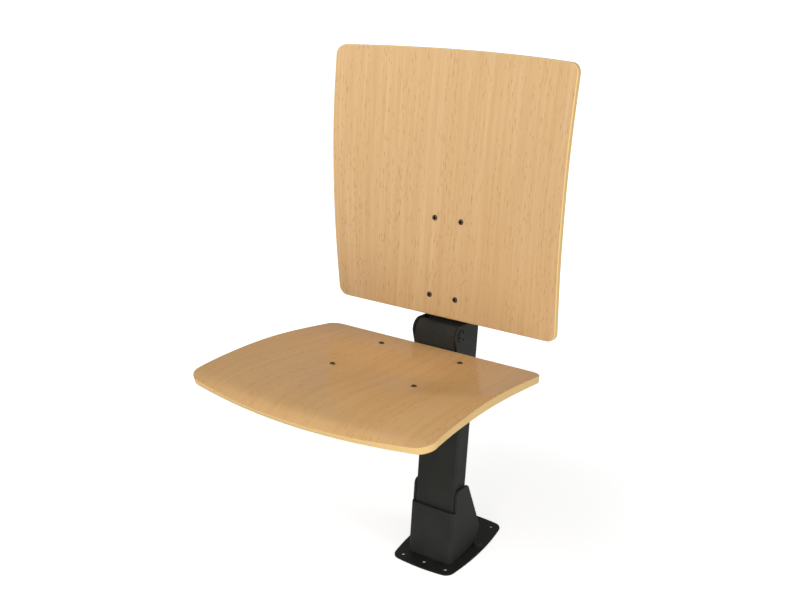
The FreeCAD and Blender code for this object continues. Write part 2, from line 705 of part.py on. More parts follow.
# Back plate welded to the post behind the back panel
back_plate_front = post_front - dim.back_plate_thick
back_plate_body = node(on_post(doc.addObject("PartDesign::Body", "back_plate")), "back_plate")
back_plan = sketch(back_plate_body, "back_plan", "XZ_Plane", -post_front)
rectangle(back_plan, -dim.back_plate_half_width, dim.back_plate_half_width,
          back_screw_rows[0] - dim.back_plate_margin, back_screw_rows[1] + dim.back_plate_margin)
for row_place in back_screw_rows:
    for sign in SIDES.values():
        circle(back_plan, (dim.back_screw_half_width * sign, row_place), screw_hole)
pad(back_plate_body, back_plan, dim.back_plate_thick)
fillet(back_plate_body, "back_plate_corners", dim.back_plate_corner_radius,
       lambda middle, edge: near(abs(middle.x), dim.back_plate_half_width)
       and edge.BoundBox.XLength < 1e-4 and edge.BoundBox.ZLength < 1e-4)

ACROSS = (-1.0, -0.5, 0.0, 0.5, 1.0)
QUARTER = [math.radians(15 * step) for step in range(7)]


def moulded(rows, corner_radius):
    """Face of a plywood sheet, a smooth surface through rows of points with round corners.

    The surface runs from 0 to 1 both ways; each corner is a quarter of an ellipse there,
    u = c + (r / length) cos a, v = d + (r / width) sin a, which is round on the sheet.
    """
    surface = Part.BSplineSurface()
    surface.interpolate(rows)
    round_u = corner_radius.value / rows[0][0].distanceToPoint(rows[-1][0])
    round_v = corner_radius.value / rows[0][0].distanceToPoint(rows[0][-1])
    arcs = []
    for quarter, (far_u, far_v) in enumerate(((1, 1), (0, 1), (0, 0), (1, 0))):
        centre_u = 1 - round_u if far_u else round_u
        centre_v = 1 - round_v if far_v else round_v
        arcs.append([FreeCAD.Base.Vector2d(centre_u + round_u * math.cos(angle + quarter * math.pi / 2),
                                           centre_v + round_v * math.sin(angle + quarter * math.pi / 2))
                     for angle in QUARTER])
    edges = []
    for arc, follower in zip(arcs, arcs[1:] + arcs[:1]):
        bend = Part.Geom2d.BSplineCurve2d()
        bend.interpolate(arc)
        edges.append(bend.toShape(surface))
        edges.append(Part.Geom2d.Line2dSegment(arc[-1], follower[0]).toShape(surface))
    face = Part.Face(surface, Part.Wire(edges))
    face.validate()
    return face


def profile(lines, rises, depths):
    """Heights at the given depths of the smooth curve through the rises at the shaping lines."""
    curve = Part.BSplineCurve()
    curve.interpolate(Points=[Vector(plain(line), plain(rise), 0) for line, rise in zip(lines, rises)],
                      Parameters=[plain(line) for line in lines])
    return [curve.value(depth).y for depth in depths]


def seat_row(from_rear, middle, side):
    """Points across the seat: x = u w, a parabola between middle and sides, ends bowed in plan."""
    share = from_rear / dim.seat_depth.value
    half = dim.seat_rear_half_width.value
    half += (dim.seat_front_half_width.value - half) * share
    return [Vector(half * u, seat_rear.value - from_rear + dim.seat_front_bow.value * share * u * u,
                   seat_rear_height.value + middle + (side - middle) * u * u)
            for u in ACROSS]


def back_row(height, lean, wrap):
    """Points across the back: x = u w, side edges brought forward by wrap, top edge crowned."""
    share = plain(height) / dim.back_height.value
    half = dim.back_low_half_width.value
    half += (dim.back_top_half_width.value - half) * share
    return [Vector(half * u, back_front.value + plain(lean) - plain(wrap) * u * u,
                   back_low.value + plain(height) - dim.back_top_crown.value * share * u * u)
            for u in reversed(ACROSS)]


def inside(solid, start, end):
    """Box round the stretch of a straight line that runs inside a solid."""
    return Part.makeLine(start, end).common(solid).BoundBox


# Seat panel: hollow behind, crest under the thighs, front edge turned down, edges square to the face
shaping_lines = [0, hollow_start_line, hollow_line, rise_line, crest_line, brow_line, lip_line, nose_line,
                 dim.seat_depth]
middle_rises = [0, dim.seat_hollow_start_middle, dim.seat_hollow_middle, dim.seat_rise_middle,
                dim.seat_crest_middle, dim.seat_brow_middle, dim.seat_lip_middle, dim.seat_nose_middle,
                dim.seat_front_middle]
side_rises = [0, dim.seat_hollow_start_side, dim.seat_hollow_side, dim.seat_rise_side, dim.seat_crest_side,
              dim.seat_brow_side, dim.seat_lip_side, dim.seat_nose_side, dim.seat_front_side]
seat_depths = [dim.seat_depth.value * row / SEAT_STRIPS for row in range(SEAT_STRIPS + 1)]
seat_rows = zip(seat_depths, profile(shaping_lines, middle_rises, seat_depths),
                profile(shaping_lines, side_rises, seat_depths))
seat_face = moulded([seat_row(*row) for row in seat_rows], dim.seat_corner_radius)
seat_sheet = seat_face.makeOffsetShape(-dim.ply_thick.value, 1e-3, fill=True)

# Back panel: flat along its lower edge, wrapped round the sitter higher up, edges cut straight back
back_front = back_plate_front - dim.back_pad_thick - dim.ply_thick
back_face = moulded([
    back_row(0, 0, 0),
    back_row(dim.back_height / 4, dim.back_quarter_lean, dim.back_quarter_wrap),
    back_row(dim.back_height / 2, dim.back_middle_lean, dim.back_middle_wrap),
    back_row(dim.back_height * 0.75, dim.back_upper_lean, dim.back_upper_wrap),
    back_row(dim.back_height, dim.back_top_lean, dim.back_top_wrap)], dim.back_corner_radius)
back_sheet = back_face.extrude(Vector(0, dim.ply_thick.value, 0))


def fastened(sheet_solid, places, outwards, support, grip, pad_radius):
    """Holes, pads, screws and nuts of a panel; grip is the depth from the support to the nut."""
    hole, head_hole = screw_hole.value, (dim.screw_head_radius + dim.screw_hole_gap).value
    reach = post_top.value
    nut_corner = dim.nut_flats.value / 2 / math.cos(math.pi / NUT_SIDES)
    nut_angles = [2 * math.pi * corner / NUT_SIDES for corner in range(NUT_SIDES + 1)]
    nut_line = Part.makePolygon([Vector(nut_corner * math.cos(angle), nut_corner * math.sin(angle), 0)
                                 for angle in nut_angles])
    panel, pads, screws, nuts = sheet_solid, [], [], []
    for place in places:
        stretch = inside(sheet_solid, place - outwards * reach, place + outwards * reach)
        face = max((stretch.getPoint(corner) - place).dot(outwards) for corner in (0, 6))
        seat = place + outwards * (face - dim.screw_head_sink.value)
        panel = panel.cut(Part.makeCylinder(hole, reach, seat + outwards, -outwards))
        panel = panel.cut(Part.makeCylinder(head_hole, reach, seat, outwards))
        base = place + outwards * support.value
        nut_face = base - outwards * grip.value
        into_panel = (seat - base).dot(outwards) - (dim.ply_thick / 2).value
        blank = Part.makeCylinder(pad_radius.value, into_panel, base, outwards)
        bore = Part.makeCylinder(hole, reach, nut_face, outwards)
        pads.append(blank.cut(sheet_solid).cut(bore))
        shank_end = nut_face - outwards * (dim.nut_height + dim.screw_end).value
        shank = Part.makeCylinder(dim.screw_radius.value, (seat - shank_end).dot(outwards),
                                  shank_end, outwards)
        head = Part.makeCone(dim.screw_head_radius.value, dim.screw_head_top_radius.value,
                             dim.screw_head_height.value, seat, outwards)
        screws.append(shank.fuse(head).removeSplitter())
        nut = Part.Face(nut_line).extrude(Vector(0, 0, dim.nut_height.value))
        thread = Part.makeCylinder((dim.screw_radius + dim.nut_thread_gap).value,
                                   dim.nut_height.value)
        nut = nut.cut(thread)
        nut.Placement = FreeCAD.Placement(nut_face, Rotation(Vector(0, 0, 1), -outwards))
        nuts.append(nut)
    return panel, Part.makeCompound(pads), Part.makeCompound(screws), Part.makeCompound(nuts)


# Fixings of both panels: screw heads let into the front face, pads behind, nuts at the far end
seat_places = [Vector(dim.seat_screw_half_width.value * sign, row_place.value, 0)
               for row_place in seat_screw_rows for sign in SIDES.values()]
back_places = [Vector(dim.back_screw_half_width.value * sign, 0, row_place.value)
               for row_place in back_screw_rows for sign in SIDES.values()]
for name, shapes in (
        ("seat", fastened(seat_sheet, seat_places, Vector(0, 0, 1), seat_plate_top,
                          dim.seat_plate_thick, dim.seat_pad_radius)),
        ("back", fastened(back_sheet, back_places, Vector(0, -1, 0), -back_plate_front,
                          dim.back_plate_thick + dim.post_wall, dim.back_pad_radius))):
    for piece, shape in zip(("panel", "pads", "screws", "nuts"), shapes):
        node(on_post(feature(f"{name}_{piece}", shape)), f"{name}_{piece}")

# Every object and every sub-part is sound before anything is written
doc.recompute()
for item in doc.Objects:
    if "Invalid" in item.State or "Error" in item.State:
        raise RuntimeError(f"{item.Label} failed: {item.State}")
os.makedirs("parts", exist_ok=True)
for item in nodes:
    if item.Shape.isNull() or not item.Shape.isValid():
        raise RuntimeError(f"{item.Label} has no sound shape")
for item in nodes:
    item.Shape.exportStep(f"parts/{item.Label}.step")
    print(f"{item.Label}: {len(item.Shape.Solids)} solid(s), {item.Shape.Volume / 1000:.1f} cm3")
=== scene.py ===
import math

import bpy
import numpy as np
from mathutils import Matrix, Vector
from mathutils.geometry import delaunay_2d_cdt


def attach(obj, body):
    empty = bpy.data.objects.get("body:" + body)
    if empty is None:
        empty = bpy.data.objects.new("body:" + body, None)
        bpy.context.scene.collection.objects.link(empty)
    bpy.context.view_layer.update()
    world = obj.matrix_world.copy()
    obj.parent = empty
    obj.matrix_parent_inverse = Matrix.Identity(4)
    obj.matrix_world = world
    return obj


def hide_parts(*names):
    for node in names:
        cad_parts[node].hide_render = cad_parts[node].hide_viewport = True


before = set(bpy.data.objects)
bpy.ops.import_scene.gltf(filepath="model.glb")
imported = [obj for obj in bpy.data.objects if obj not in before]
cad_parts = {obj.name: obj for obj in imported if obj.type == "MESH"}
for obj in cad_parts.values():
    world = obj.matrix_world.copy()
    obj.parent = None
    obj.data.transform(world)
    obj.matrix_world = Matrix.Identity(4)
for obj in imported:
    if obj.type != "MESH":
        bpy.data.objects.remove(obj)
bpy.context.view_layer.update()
bpy.context.scene.view_settings.view_transform = "Standard"

# Base plate: 3 mm steel with slightly bowed sides, cut in one piece, drilled for six floor
# anchors and two side bolts. Its edges are broken and it is powder coated with the rest of the stand,
# in a darker, flatter copy of the coat: the darker grey is painted shade.
mm = 0.001
plate_half_x, plate_half_y, plate_thick = 59.5, 97.5, 3.0
plate_end_bow, plate_side_bow, plate_corner, bow_spans = 5.0, 9.0, 18.0, 20
anchor_radius, anchor_across, anchor_along = 3.3, 45.0, 84.0
side_hole_radius, side_bolt_x, side_bolt_y = 3.8, 56.0, 13.0
cut_edge = 0.5


def rectangle(half, low, high):
    """Corners of a rectangle, anticlockwise: half to either side, and from low to high."""
    return [(half, low), (half, high), (-half, high), (-half, low)]


def rounded_loop(corners, radii, bows=0.0, spans=1, steps=9):
    """Closed outline, anticlockwise. Edge i is A + t c + 4 bow t (1 - t) n, with n its outward normal;
    a corner is an arc, drawn as the cubic whose handles are 4/3 tan(turn / 4) of its radius."""
    corners = np.asarray(corners, float)
    count = len(corners)
    radii, bows, spans = (np.broadcast_to(v, count) for v in (radii, bows, spans))
    chord = np.roll(corners, -1, 0) - corners
    length = np.linalg.norm(chord, axis=1)
    outward = np.stack([chord[:, 1], -chord[:, 0]], 1) / length[:, None]

    def point(t):
        return corners + t[:, None] * chord + (4 * bows * t * (1 - t))[:, None] * outward

    def heading(t):
        run = chord + (4 * bows * (1 - 2 * t))[:, None] * outward
        return run / np.linalg.norm(run, axis=1, keepdims=True)

    came, goes = np.roll(heading(np.ones(count)), 1, 0), heading(np.zeros(count))
    turn = np.abs(np.arctan2(came[:, 0] * goes[:, 1] - came[:, 1] * goes[:, 0], (came * goes).sum(1)))
    setback = radii * np.tan(turn / 2)
    first, last = setback / length, 1 - np.roll(setback, -1) / length
    leave, arrive = point(first), np.roll(point(last), 1, 0)
    handle = (4 / 3 * np.tan(turn / 4) * radii)[:, None]
    lead, trail = arrive + handle * np.roll(heading(last), 1, 0), leave - handle * heading(first)
    s = np.linspace(0, 1, steps)[:, None]
    line = []
    for i in range(count):
        arc = (1 - s) ** 3 * arrive[i] + 3 * (1 - s) ** 2 * s * lead[i]
        arc = arc + 3 * (1 - s) * s ** 2 * trail[i] + s ** 3 * leave[i]
        line.append(arc if radii[i] else corners[i:i + 1])
        t = (first[i] + (last[i] - first[i]) * np.arange(1, spans[i]) / spans[i])[:, None]
        line.append(corners[i] + t * chord[i] + 4 * bows[i] * t * (1 - t) * outward[i])
    return np.concatenate(line)


def hole_loop(x, y, radius, steps=28):
    """Round hole, run clockwise: the centre plus radius times (cos a, -sin a)."""
    a = np.arange(steps) * 2 * math.pi / steps
    return np.stack([x + radius * np.cos(a), y - radius * np.sin(a)], 1)


def mesh_grid(rows, columns, around=True):
    """Quads between neighbours in a grid of points; the columns are closed where they run around."""
    r = np.arange(rows - 1)[:, None] * columns
    c = np.arange(columns if around else columns - 1)
    d = (c + 1) % columns
    return np.stack([r + c, r + d, r + columns + d, r + columns + c], -1).reshape(-1, 4)


def cut_sheet(loops, thick, soft, folds=None, steps=4):
    """Sheet between closed loops, the outline anticlockwise and its holes clockwise, as (a, b, height).
    At both faces the edge is the loop moved inwards by soft (1 - sin w) at soft (1 - cos w) from the
    face, w from 0 to 90 degrees; the faces are the triangles between the loops moved inwards by soft."""
    w = np.linspace(0, math.pi / 2, steps)
    inset, rise = soft * (1 - np.sin(w)), soft * (1 - np.cos(w))
    inset, height = np.concatenate([inset, inset[::-1]]), np.concatenate([rise, thick - rise[::-1]])
    rows = len(inset)
    points, quads, low, high, ends, flat = ([] for _ in range(6))
    base = start = 0
    for loop in loops:
        side = np.roll(loop, -1, 0) - loop
        side = np.stack([-side[:, 1], side[:, 0]], 1) / np.linalg.norm(side, axis=1, keepdims=True)
        before = np.roll(side, 1, 0)
        mitre = (side + before) / (1 + (side * before).sum(1, keepdims=True))
        ring = loop[None] + inset[:, None, None] * mitre[None]
        n = len(loop)
        level = np.broadcast_to(height[:, None, None], (rows, n, 1))
        points.append(np.concatenate([ring, level], -1).reshape(-1, 3))
        quads.append(base + mesh_grid(rows, n))
        low.append(base + np.arange(n))
        high.append(base + (rows - 1) * n + np.arange(n))
        ends.append(start + np.stack([np.arange(n), (np.arange(n) + 1) % n], 1))
        flat.append(ring[0])
        base, start = base + rows * n, start + n
    place, low, high = (np.concatenate(part) for part in (flat, low, high))
    lines = np.concatenate(ends + ([folds(place)] if folds else []))
    inside_lines, merge_within = 1, 1e-7
    cut = delaunay_2d_cdt(place.tolist(), lines.tolist(), [], inside_lines, merge_within, True)
    faces, source = cut[2], cut[3]
    faces = np.array([s[0] for s in source])[np.array(faces)]
    middle = place[faces].mean(1)
    turns = np.zeros(len(faces))
    for ring in flat:
        gap = ring[None] - middle[:, None]
        after = np.roll(gap, -1, 1)
        cross = gap[..., 0] * after[..., 1] - gap[..., 1] * after[..., 0]
        turns += np.arctan2(cross, (gap * after).sum(-1)).sum(1)
    faces = faces[turns > math.pi]
    triangles = np.concatenate([low[faces[:, ::-1]], high[faces]])
    return np.concatenate(points), np.concatenate(quads), triangles


def solid(name, points, quads, triangles=(), body="stand"):
    """Closed mesh in metres that rides on a body. Faces are turned outwards by the sign of the volume,
    the sum of p0 . (p1 x p2); a vertex's normal is the area-weighted mean of the faces that meet there."""
    quads, triangles = np.asarray(quads, int).reshape(-1, 4), np.asarray(triangles, int).reshape(-1, 3)
    fan = np.concatenate([triangles, quads[:, [0, 1, 2]], quads[:, [0, 2, 3]]])
    p = points[fan]
    area = np.cross(p[:, 1] - p[:, 0], p[:, 2] - p[:, 0])
    if ((p[:, 0] - points.mean(0)) * area).sum() < 0:
        quads, triangles, area = quads[:, ::-1], triangles[:, ::-1], -area
    normals = np.zeros_like(points)
    np.add.at(normals, fan.ravel(), np.repeat(area, 3, 0))
    smallest = 1e-12
    normals /= np.maximum(np.linalg.norm(normals, axis=1, keepdims=True), smallest)
    mesh = bpy.data.meshes.new(name)
    mesh.from_pydata(points.tolist(), [], quads.tolist() + triangles.tolist())
    mesh.shade_smooth()
    mesh.normals_split_custom_set_from_vertices(normals.tolist())
    piece = bpy.data.objects.new(name, mesh)
    bpy.context.scene.collection.objects.link(piece)
    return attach(piece, body)


class Tone:
    """A socket among a material's nodes. Sums and products add Math nodes; node() adds any other."""

    def __init__(self, tree, socket=None):
        self.tree, self.socket = tree, socket

    def node(self, kind, settings=None, inputs=None, out=0):
        """Adds a node: its settings first, then the values or links of its sockets."""
        made = self.tree.nodes.new("ShaderNode" + kind)
        for key, value in (settings or {}).items():
            setattr(made, key, value)
        for key, value in (inputs or {}).items():
            if isinstance(value, Tone):
                self.tree.links.new(value.socket, made.inputs[key])
            else:
                made.inputs[key].default_value = value
        return Tone(self.tree, made.outputs[out] if made.outputs else None)

    def other(self, output):
        """Another output of the node that this socket belongs to."""
        return Tone(self.tree, self.socket.node.outputs[output])

    def own_place(self):
        """The piece's own coordinates, in metres."""
        return self.node("TexCoord", None, None, out=3)

    def maths(self, operation, a, b=0.0):
        return self.node("Math", {"operation": operation}, {0: a, 1: b})

    def __add__(self, other):
        return self.maths("ADD", self, other)

    def __sub__(self, other):
        return self.maths("SUBTRACT", self, other)

    def __rsub__(self, other):
        return self.maths("SUBTRACT", other, self)

    def __mul__(self, other):
        return self.maths("MULTIPLY", self, other)

    __radd__, __rmul__ = __add__, __mul__

    def between(self, low, high):
        """0 below low, 1 above high, a smooth step between them."""
        settings = {"interpolation_type": "SMOOTHSTEP"}
        return self.node("MapRange", settings, {"Value": self, "From Min": low, "From Max": high})

    def mix(self, first, second):
        """Colour from first to second as this tone goes from 0 to 1."""
        return self.node("Mix", {"data_type": "RGBA"}, {0: self, 6: first, 7: second}, out=2)


def new_material(name):
    """Empty node material and the tone from which its nodes are added."""
    material = bpy.data.materials.new(name)
    material.use_nodes = True
    material.node_tree.nodes.clear()
    return material, Tone(material.node_tree)


def finish_with(start, shader_inputs):
    """Puts the shader and the output at the end of a material."""
    shader = start.node("BsdfPrincipled", None, shader_inputs)
    start.node("OutputMaterial", None, {"Surface": shader})


def rgb(red, green, blue):
    """Linear colour of an 8-bit screen colour: (c / 255 + 0.055) / 1.055 to the power 2.4."""
    level = np.array([red, green, blue]) / 255
    linear = np.where(level > 0.04045, ((level + 0.055) / 1.055) ** 2.4, level / 12.92)
    return (*linear.tolist(), 1.0)


def noise(start, place, scale, detail=2.0, roughness=0.5):
    """Even noise between 0 and 1 at a place, so many features to the metre."""
    inputs = {"Vector": place, "Scale": scale, "Detail": detail, "Roughness": roughness}
    return start.node("TexNoise", {"noise_dimensions": "3D"}, inputs)


def dented(start, height, strength, distance):
    """Normal of a surface that a height between 0 and 1 raises by so many metres."""
    return start.node("Bump", None, {"Strength": strength, "Distance": distance, "Height": height})


def powder_coat(name, level, shine):
    """Black powder coat: soft clouds round a grey level, fine lighter specks and an orange-peel bump."""
    material, start = new_material(name)
    place = start.own_place()
    cloud = noise(start, place, scale=26.0, detail=3.0)
    peel = noise(start, place, scale=950.0)
    speck = noise(start, place, scale=3200.0, detail=1.0)
    dark, pale = rgb(level - 3, level - 2, level - 4), rgb(level + 3, level + 4, level + 1)
    colour = cloud.between(0.3, 0.7).mix(dark, pale)
    colour = speck.between(0.62, 0.8).mix(colour, rgb(level + 16, level + 16, level + 13))
    dent = dented(start, peel, strength=0.22, distance=0.00025)
    finish_with(start, {"Base Color": colour, "Roughness": 0.46 + 0.12 * cloud, "Normal": dent,
                        "Specular IOR Level": shine})
    return material


# The plate's copy of the coat is darker: painted shade.
plate_powder_painted_shade = powder_coat("flat_black_powder_coat_painted_shade", level=39, shine=0.16)
powder = powder_coat("satin_black_powder_coat", level=51, shine=0.24)

outline = rounded_loop(rectangle(plate_half_x, -plate_half_y, plate_half_y), plate_corner,
                       [plate_side_bow, plate_end_bow, plate_side_bow, plate_end_bow], bow_spans)
holes = [hole_loop(x, y, anchor_radius) for y in (-anchor_along, anchor_along)
         for x in (-anchor_across, 0.0, anchor_across)]
holes += [hole_loop(x, side_bolt_y, side_hole_radius) for x in (-side_bolt_x, side_bolt_x)]
points, quads, triangles = cut_sheet([outline] + holes, plate_thick, cut_edge)
base_plate = solid("floor_plate", points * mm, quads, triangles)
base_plate.data.materials.append(plate_powder_painted_shade)
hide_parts("base_plate")

# Side bolts: two socket-head bolts close to the foot's cheeks, each on a flat steel washer, coated black
# like the stand. They are turned parts, with a six-sided socket in the head.
washer_radius, washer_thick, washer_bore, washer_edge = 8.5, 1.5, 3.8, 0.3
bolt_head_radius, bolt_head_high, bolt_radius = 6.0, 4.0, 3.5
bolt_socket, bolt_socket_deep, bolt_lip = 2.9, 2.4, 0.3
bolt_lip_wide, bolt_lip_hex = 1.08 * bolt_socket, 0.3
bolt_edge, bolt_edge_mid = 0.7, 0.2


def turned(profile, sides=48, ring=False):
    """Profile rows (radius, height, six-sidedness h) carried round an axis: at angle a the radius is
    r (1 - h) + h r cos 30 / cos(a mod 60 - 30). Ends at radius 0 close in a point; a ring closes on
    itself."""
    profile = np.asarray(profile, float)
    a = np.arange(sides) * 2 * math.pi / sides
    facet = math.cos(math.pi / 6) / np.cos(a % (math.pi / 3) - math.pi / 6)
    rows = profile if ring else profile[1:-1]
    radius = rows[:, :1] * (1 - rows[:, 2:] + rows[:, 2:] * facet)
    height = np.repeat(rows[:, 1:2], sides, 1)
    body = np.stack([radius * np.cos(a), radius * np.sin(a), height], -1).reshape(-1, 3)
    quads = mesh_grid(len(rows), sides)
    j = np.arange(sides)
    k, last = (j + 1) % sides, (len(rows) - 1) * sides
    if ring:
        closing = np.stack([last + j, last + k, k, j], 1)
        return body, np.concatenate([quads, closing]), np.zeros((0, 3), int)
    points = np.concatenate([body, [[0, 0, profile[0, 1]], [0, 0, profile[-1, 1]]]])
    near, far = np.full(sides, len(body)), np.full(sides, len(body) + 1)
    caps = [np.stack([k, j, near], 1), np.stack([last + j, last + k, far], 1)]
    return points, quads, np.concatenate(caps)


def repeated(shape, places):
    """The same shape at several places, as one mesh: points are moved, faces are renumbered."""
    points, quads, triangles = shape
    places = np.asarray(places, float)
    shift = np.arange(len(places))[:, None, None] * len(points)
    return ((points[None] + places[:, None]).reshape(-1, 3), (quads[None] + shift).reshape(-1, 4),
            (triangles[None] + shift).reshape(-1, 3))


side_places = [(x, side_bolt_y, plate_thick) for x in (-side_bolt_x, side_bolt_x)]
washer = turned([(washer_bore, 0, 0), (washer_radius - washer_edge, 0, 0), (washer_radius, washer_edge, 0),
                 (washer_radius, washer_thick - washer_edge, 0),
                 (washer_radius - washer_edge, washer_thick, 0), (washer_bore, washer_thick, 0)], ring=True)
points, quads, triangles = repeated(washer, side_places)
side_washers = solid("side_washers", points * mm, quads, triangles)
side_washers.data.materials.append(powder)
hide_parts("side_bolt_washers")
socket_floor, bolt_end = bolt_head_high - bolt_socket_deep, -plate_thick - washer_thick
head = turned([(0, socket_floor, 0), (bolt_socket, socket_floor, 1),
               (bolt_socket, bolt_head_high - bolt_lip, 1), (bolt_lip_wide, bolt_head_high, bolt_lip_hex),
               (bolt_head_radius - bolt_edge, bolt_head_high, 0),
               (bolt_head_radius - bolt_edge_mid, bolt_head_high - bolt_edge_mid, 0),
               (bolt_head_radius, bolt_head_high - bolt_edge, 0), (bolt_head_radius, 0, 0),
               (bolt_radius, 0, 0), (bolt_radius, bolt_end, 0), (0, bolt_end, 0)])
points, quads, triangles = repeated(head, np.array(side_places) + [0, 0, washer_thick])
side_bolts = solid("side_bolts_with_sockets", points * mm, quads, triangles)
side_bolts.data.materials.append(powder)
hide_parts("side_bolts")

# Foot saddle: 5 mm plate bent round the front of the post, a low front wall and two higher cheeks
# with rounded tops and sloping rear edges. It is welded to the base plate and to the post.
lean = math.radians(6.0)
lean_back = 44.0
foot_thick, foot_inner_half, foot_inner_front, foot_bend = 5.0, 40.5, -20.5, 3.0
foot_wall_top, foot_cheek_top, foot_slope_top_y = 99.5, 141.5, 20.5
foot_toe_y, foot_toe_z, foot_heel_y = 78.0, 38.5, 60.0
foot_rear_round, foot_front_round, foot_toe_round, foot_heel_round = 8.0, 9.0, 5.0, 2.0
foot_edge, foot_sunk, foot_front_sunk, bend_steps = 0.9, 0.7, 0.3, 10
bend_line = foot_inner_half - foot_bend
bend_mid = foot_bend + foot_thick / 2
bend_end = bend_line + bend_mid * math.pi / 2
cheek_start = foot_inner_front + foot_bend


def leaned(points):
    """From the post's own upright frame, mm, to the model: turned back about the x axis by the lean."""
    x, y, z = points[:, 0], points[:, 1], points[:, 2]
    c, s = math.cos(lean), math.sin(lean)
    return np.stack([x, y * c + z * s - lean_back, z * c - y * s], 1) * mm


def floor_at(y):
    """Height in the post's frame of the base plate's upper face: thick / cos lean + y tan lean."""
    return plate_thick / math.cos(lean) + y * math.tan(lean)


def along_cheek(y):
    """Developed length from the middle of the front wall to a point of the cheek."""
    return bend_end + y - cheek_start


def wrapped(points):
    """Developed sheet (s, z, h) bent round the post: flat front, then a quarter turn of radius bend + h,
    then the flat cheek; h grows outwards."""
    s, z, h = np.abs(points[:, 0]), points[:, 1], points[:, 2]
    turn = np.clip((s - bend_line) / bend_mid, 0, math.pi / 2)
    x = np.minimum(s, bend_line) + (foot_bend + h) * np.sin(turn)
    y = cheek_start - (foot_bend + h) * np.cos(turn) + np.maximum(s - bend_end, 0)
    return np.stack([np.sign(points[:, 0]) * x, y, z], 1)


def bend_folds(place):
    """Lines across the sheet at each step of its two bends, from the lower edge to the front wall's top."""
    before_bend, past_bend, near_floor, near_top = 0.3, 1.2, 20.0, 3.0
    s, z = np.abs(place[:, 0]), place[:, 1]
    zone = (s > bend_line - before_bend) & (s < bend_end + past_bend)
    low = np.flatnonzero(zone & (z < near_floor))
    high = np.flatnonzero(zone & (np.abs(z - foot_wall_top) < near_top))
    return np.stack([low[np.argsort(place[low, 0])], high[np.argsort(place[high, 0])]], 1)


right_half = [(along_cheek(foot_heel_y), floor_at(foot_heel_y) - foot_sunk, foot_heel_round, 1),
              (along_cheek(foot_toe_y), foot_toe_z, foot_toe_round, 1),
              (along_cheek(foot_slope_top_y), foot_cheek_top, foot_rear_round, 1),
              (bend_end, foot_cheek_top, foot_front_round, 1),
              (bend_end, foot_wall_top, 0.0, bend_steps), (bend_line, foot_wall_top, 0.0, 1)]
left_half = [(-s, z, r, 1) for s, z, r, _ in right_half[::-1]]
left_half[0] = (*left_half[0][:3], bend_steps)
front_low = floor_at(foot_inner_front) - foot_sunk - foot_front_sunk
cheek_foot = floor_at(cheek_start) - foot_sunk
under = [(-bend_end, cheek_foot, 0.0, bend_steps), (-bend_line, front_low, 0.0, 1),
         (bend_line, front_low, 0.0, bend_steps), (bend_end, cheek_foot, 0.0, 1)]
line = np.array(right_half + left_half + under)
outline = rounded_loop(line[:, :2], line[:, 2], 0.0, line[:, 3].astype(int))
points, quads, triangles = cut_sheet([outline], foot_thick, foot_edge, bend_folds)
foot = solid("bent_foot_saddle", leaned(wrapped(points)), quads, triangles)
foot.data.materials.append(powder)
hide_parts("foot_saddle")

# Post: 80 x 40 rectangular steel tube with 3 mm walls, leaning backwards, cut level at the floor and
# welded there. It carries the hinge cheeks at seat height and the back above them.
post_half_x, post_half_y, post_wall, post_corner, post_top = 40.0, 20.0, 3.0, 5.0, 654.9
bore_half_x, bore_half_y, corner_steps = post_half_x - post_wall, post_half_y - post_wall, 12
outer = rounded_loop(rectangle(post_half_x, -post_half_y, post_half_y), post_corner, steps=corner_steps)
inner = rounded_loop(rectangle(bore_half_x, -bore_half_y, bore_half_y), post_corner - post_wall,
                     steps=corner_steps)
around = len(outer)
top = np.full(around, post_top)
rings = [(outer, floor_at(outer[:, 1])), (outer, top), (inner, top), (inner, floor_at(inner[:, 1]))]
points = np.concatenate([np.column_stack(ring) for ring in rings])
j = np.arange(around)
k, last = (j + 1) % around, (len(rings) - 1) * around
closing = np.stack([last + j, last + k, k, j], 1)
post = solid("post_tube_wall", leaned(points), np.concatenate([mesh_grid(len(rings), around), closing]))
post.data.materials.append(powder)
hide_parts("post_tube")

# Post cap: a moulded plastic cap pressed into the top of the tube behind the back panel.
# Its upper edge is soft and its face has the fine texture of the mould.
cap_thick, cap_edge = 4.0, 1.6
plastic, start = new_material("black_moulded_plastic")
place = start.own_place()
spark = noise(start, place, scale=1500.0)
cloud = noise(start, place, scale=40.0)
finish_with(start, {"Base Color": cloud.mix(rgb(34, 34, 34), rgb(46, 46, 45)),
                    "Roughness": 0.42 + 0.2 * spark,
                    "Normal": dented(start, spark, strength=0.3, distance=0.00015)})
points, quads, triangles = cut_sheet([outer], cap_thick, cap_edge, steps=7)
cap = solid("post_top_cap", leaned(points + [0, 0, post_top]), quads, triangles)
cap.data.materials.append(plastic)
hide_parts("post_cap")

# Hinge cheeks: two 3 mm plates welded to the sides of the post, each with a round nose that holds one
# end of the hinge pin and a front edge that slopes down to the post.
cheek_thick, cheek_nose, pivot_y, pivot_z, cheek_rear = 3.0, 18.5, -43.0, 435.0, 14.0
cheek_slope, nose_steps = math.radians(20.0), 40
a = np.linspace(math.pi / 2, math.pi + cheek_slope, nose_steps)
nose = np.stack([pivot_y + cheek_nose * np.cos(a), pivot_z + cheek_nose * np.sin(a)], 1)
cheek_low = nose[-1, 1] - (-post_half_y - nose[-1, 0]) / math.tan(cheek_slope)
outline = np.concatenate([nose, [(-post_half_y, cheek_low), (cheek_rear, cheek_low),
                                 (cheek_rear, pivot_z + cheek_nose)]])
points, quads, triangles = cut_sheet([outline], cheek_thick, cut_edge)
for side, inner_x in (("left", -post_half_x - cheek_thick), ("right", post_half_x)):
    flank = np.stack([points[:, 2] + inner_x, points[:, 0], points[:, 1]], 1)
    cheek = solid("hinge_cheek_plate_" + side, leaned(flank), quads, triangles)
    cheek.data.materials.append(powder)
    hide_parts("hinge_cheek_" + side)

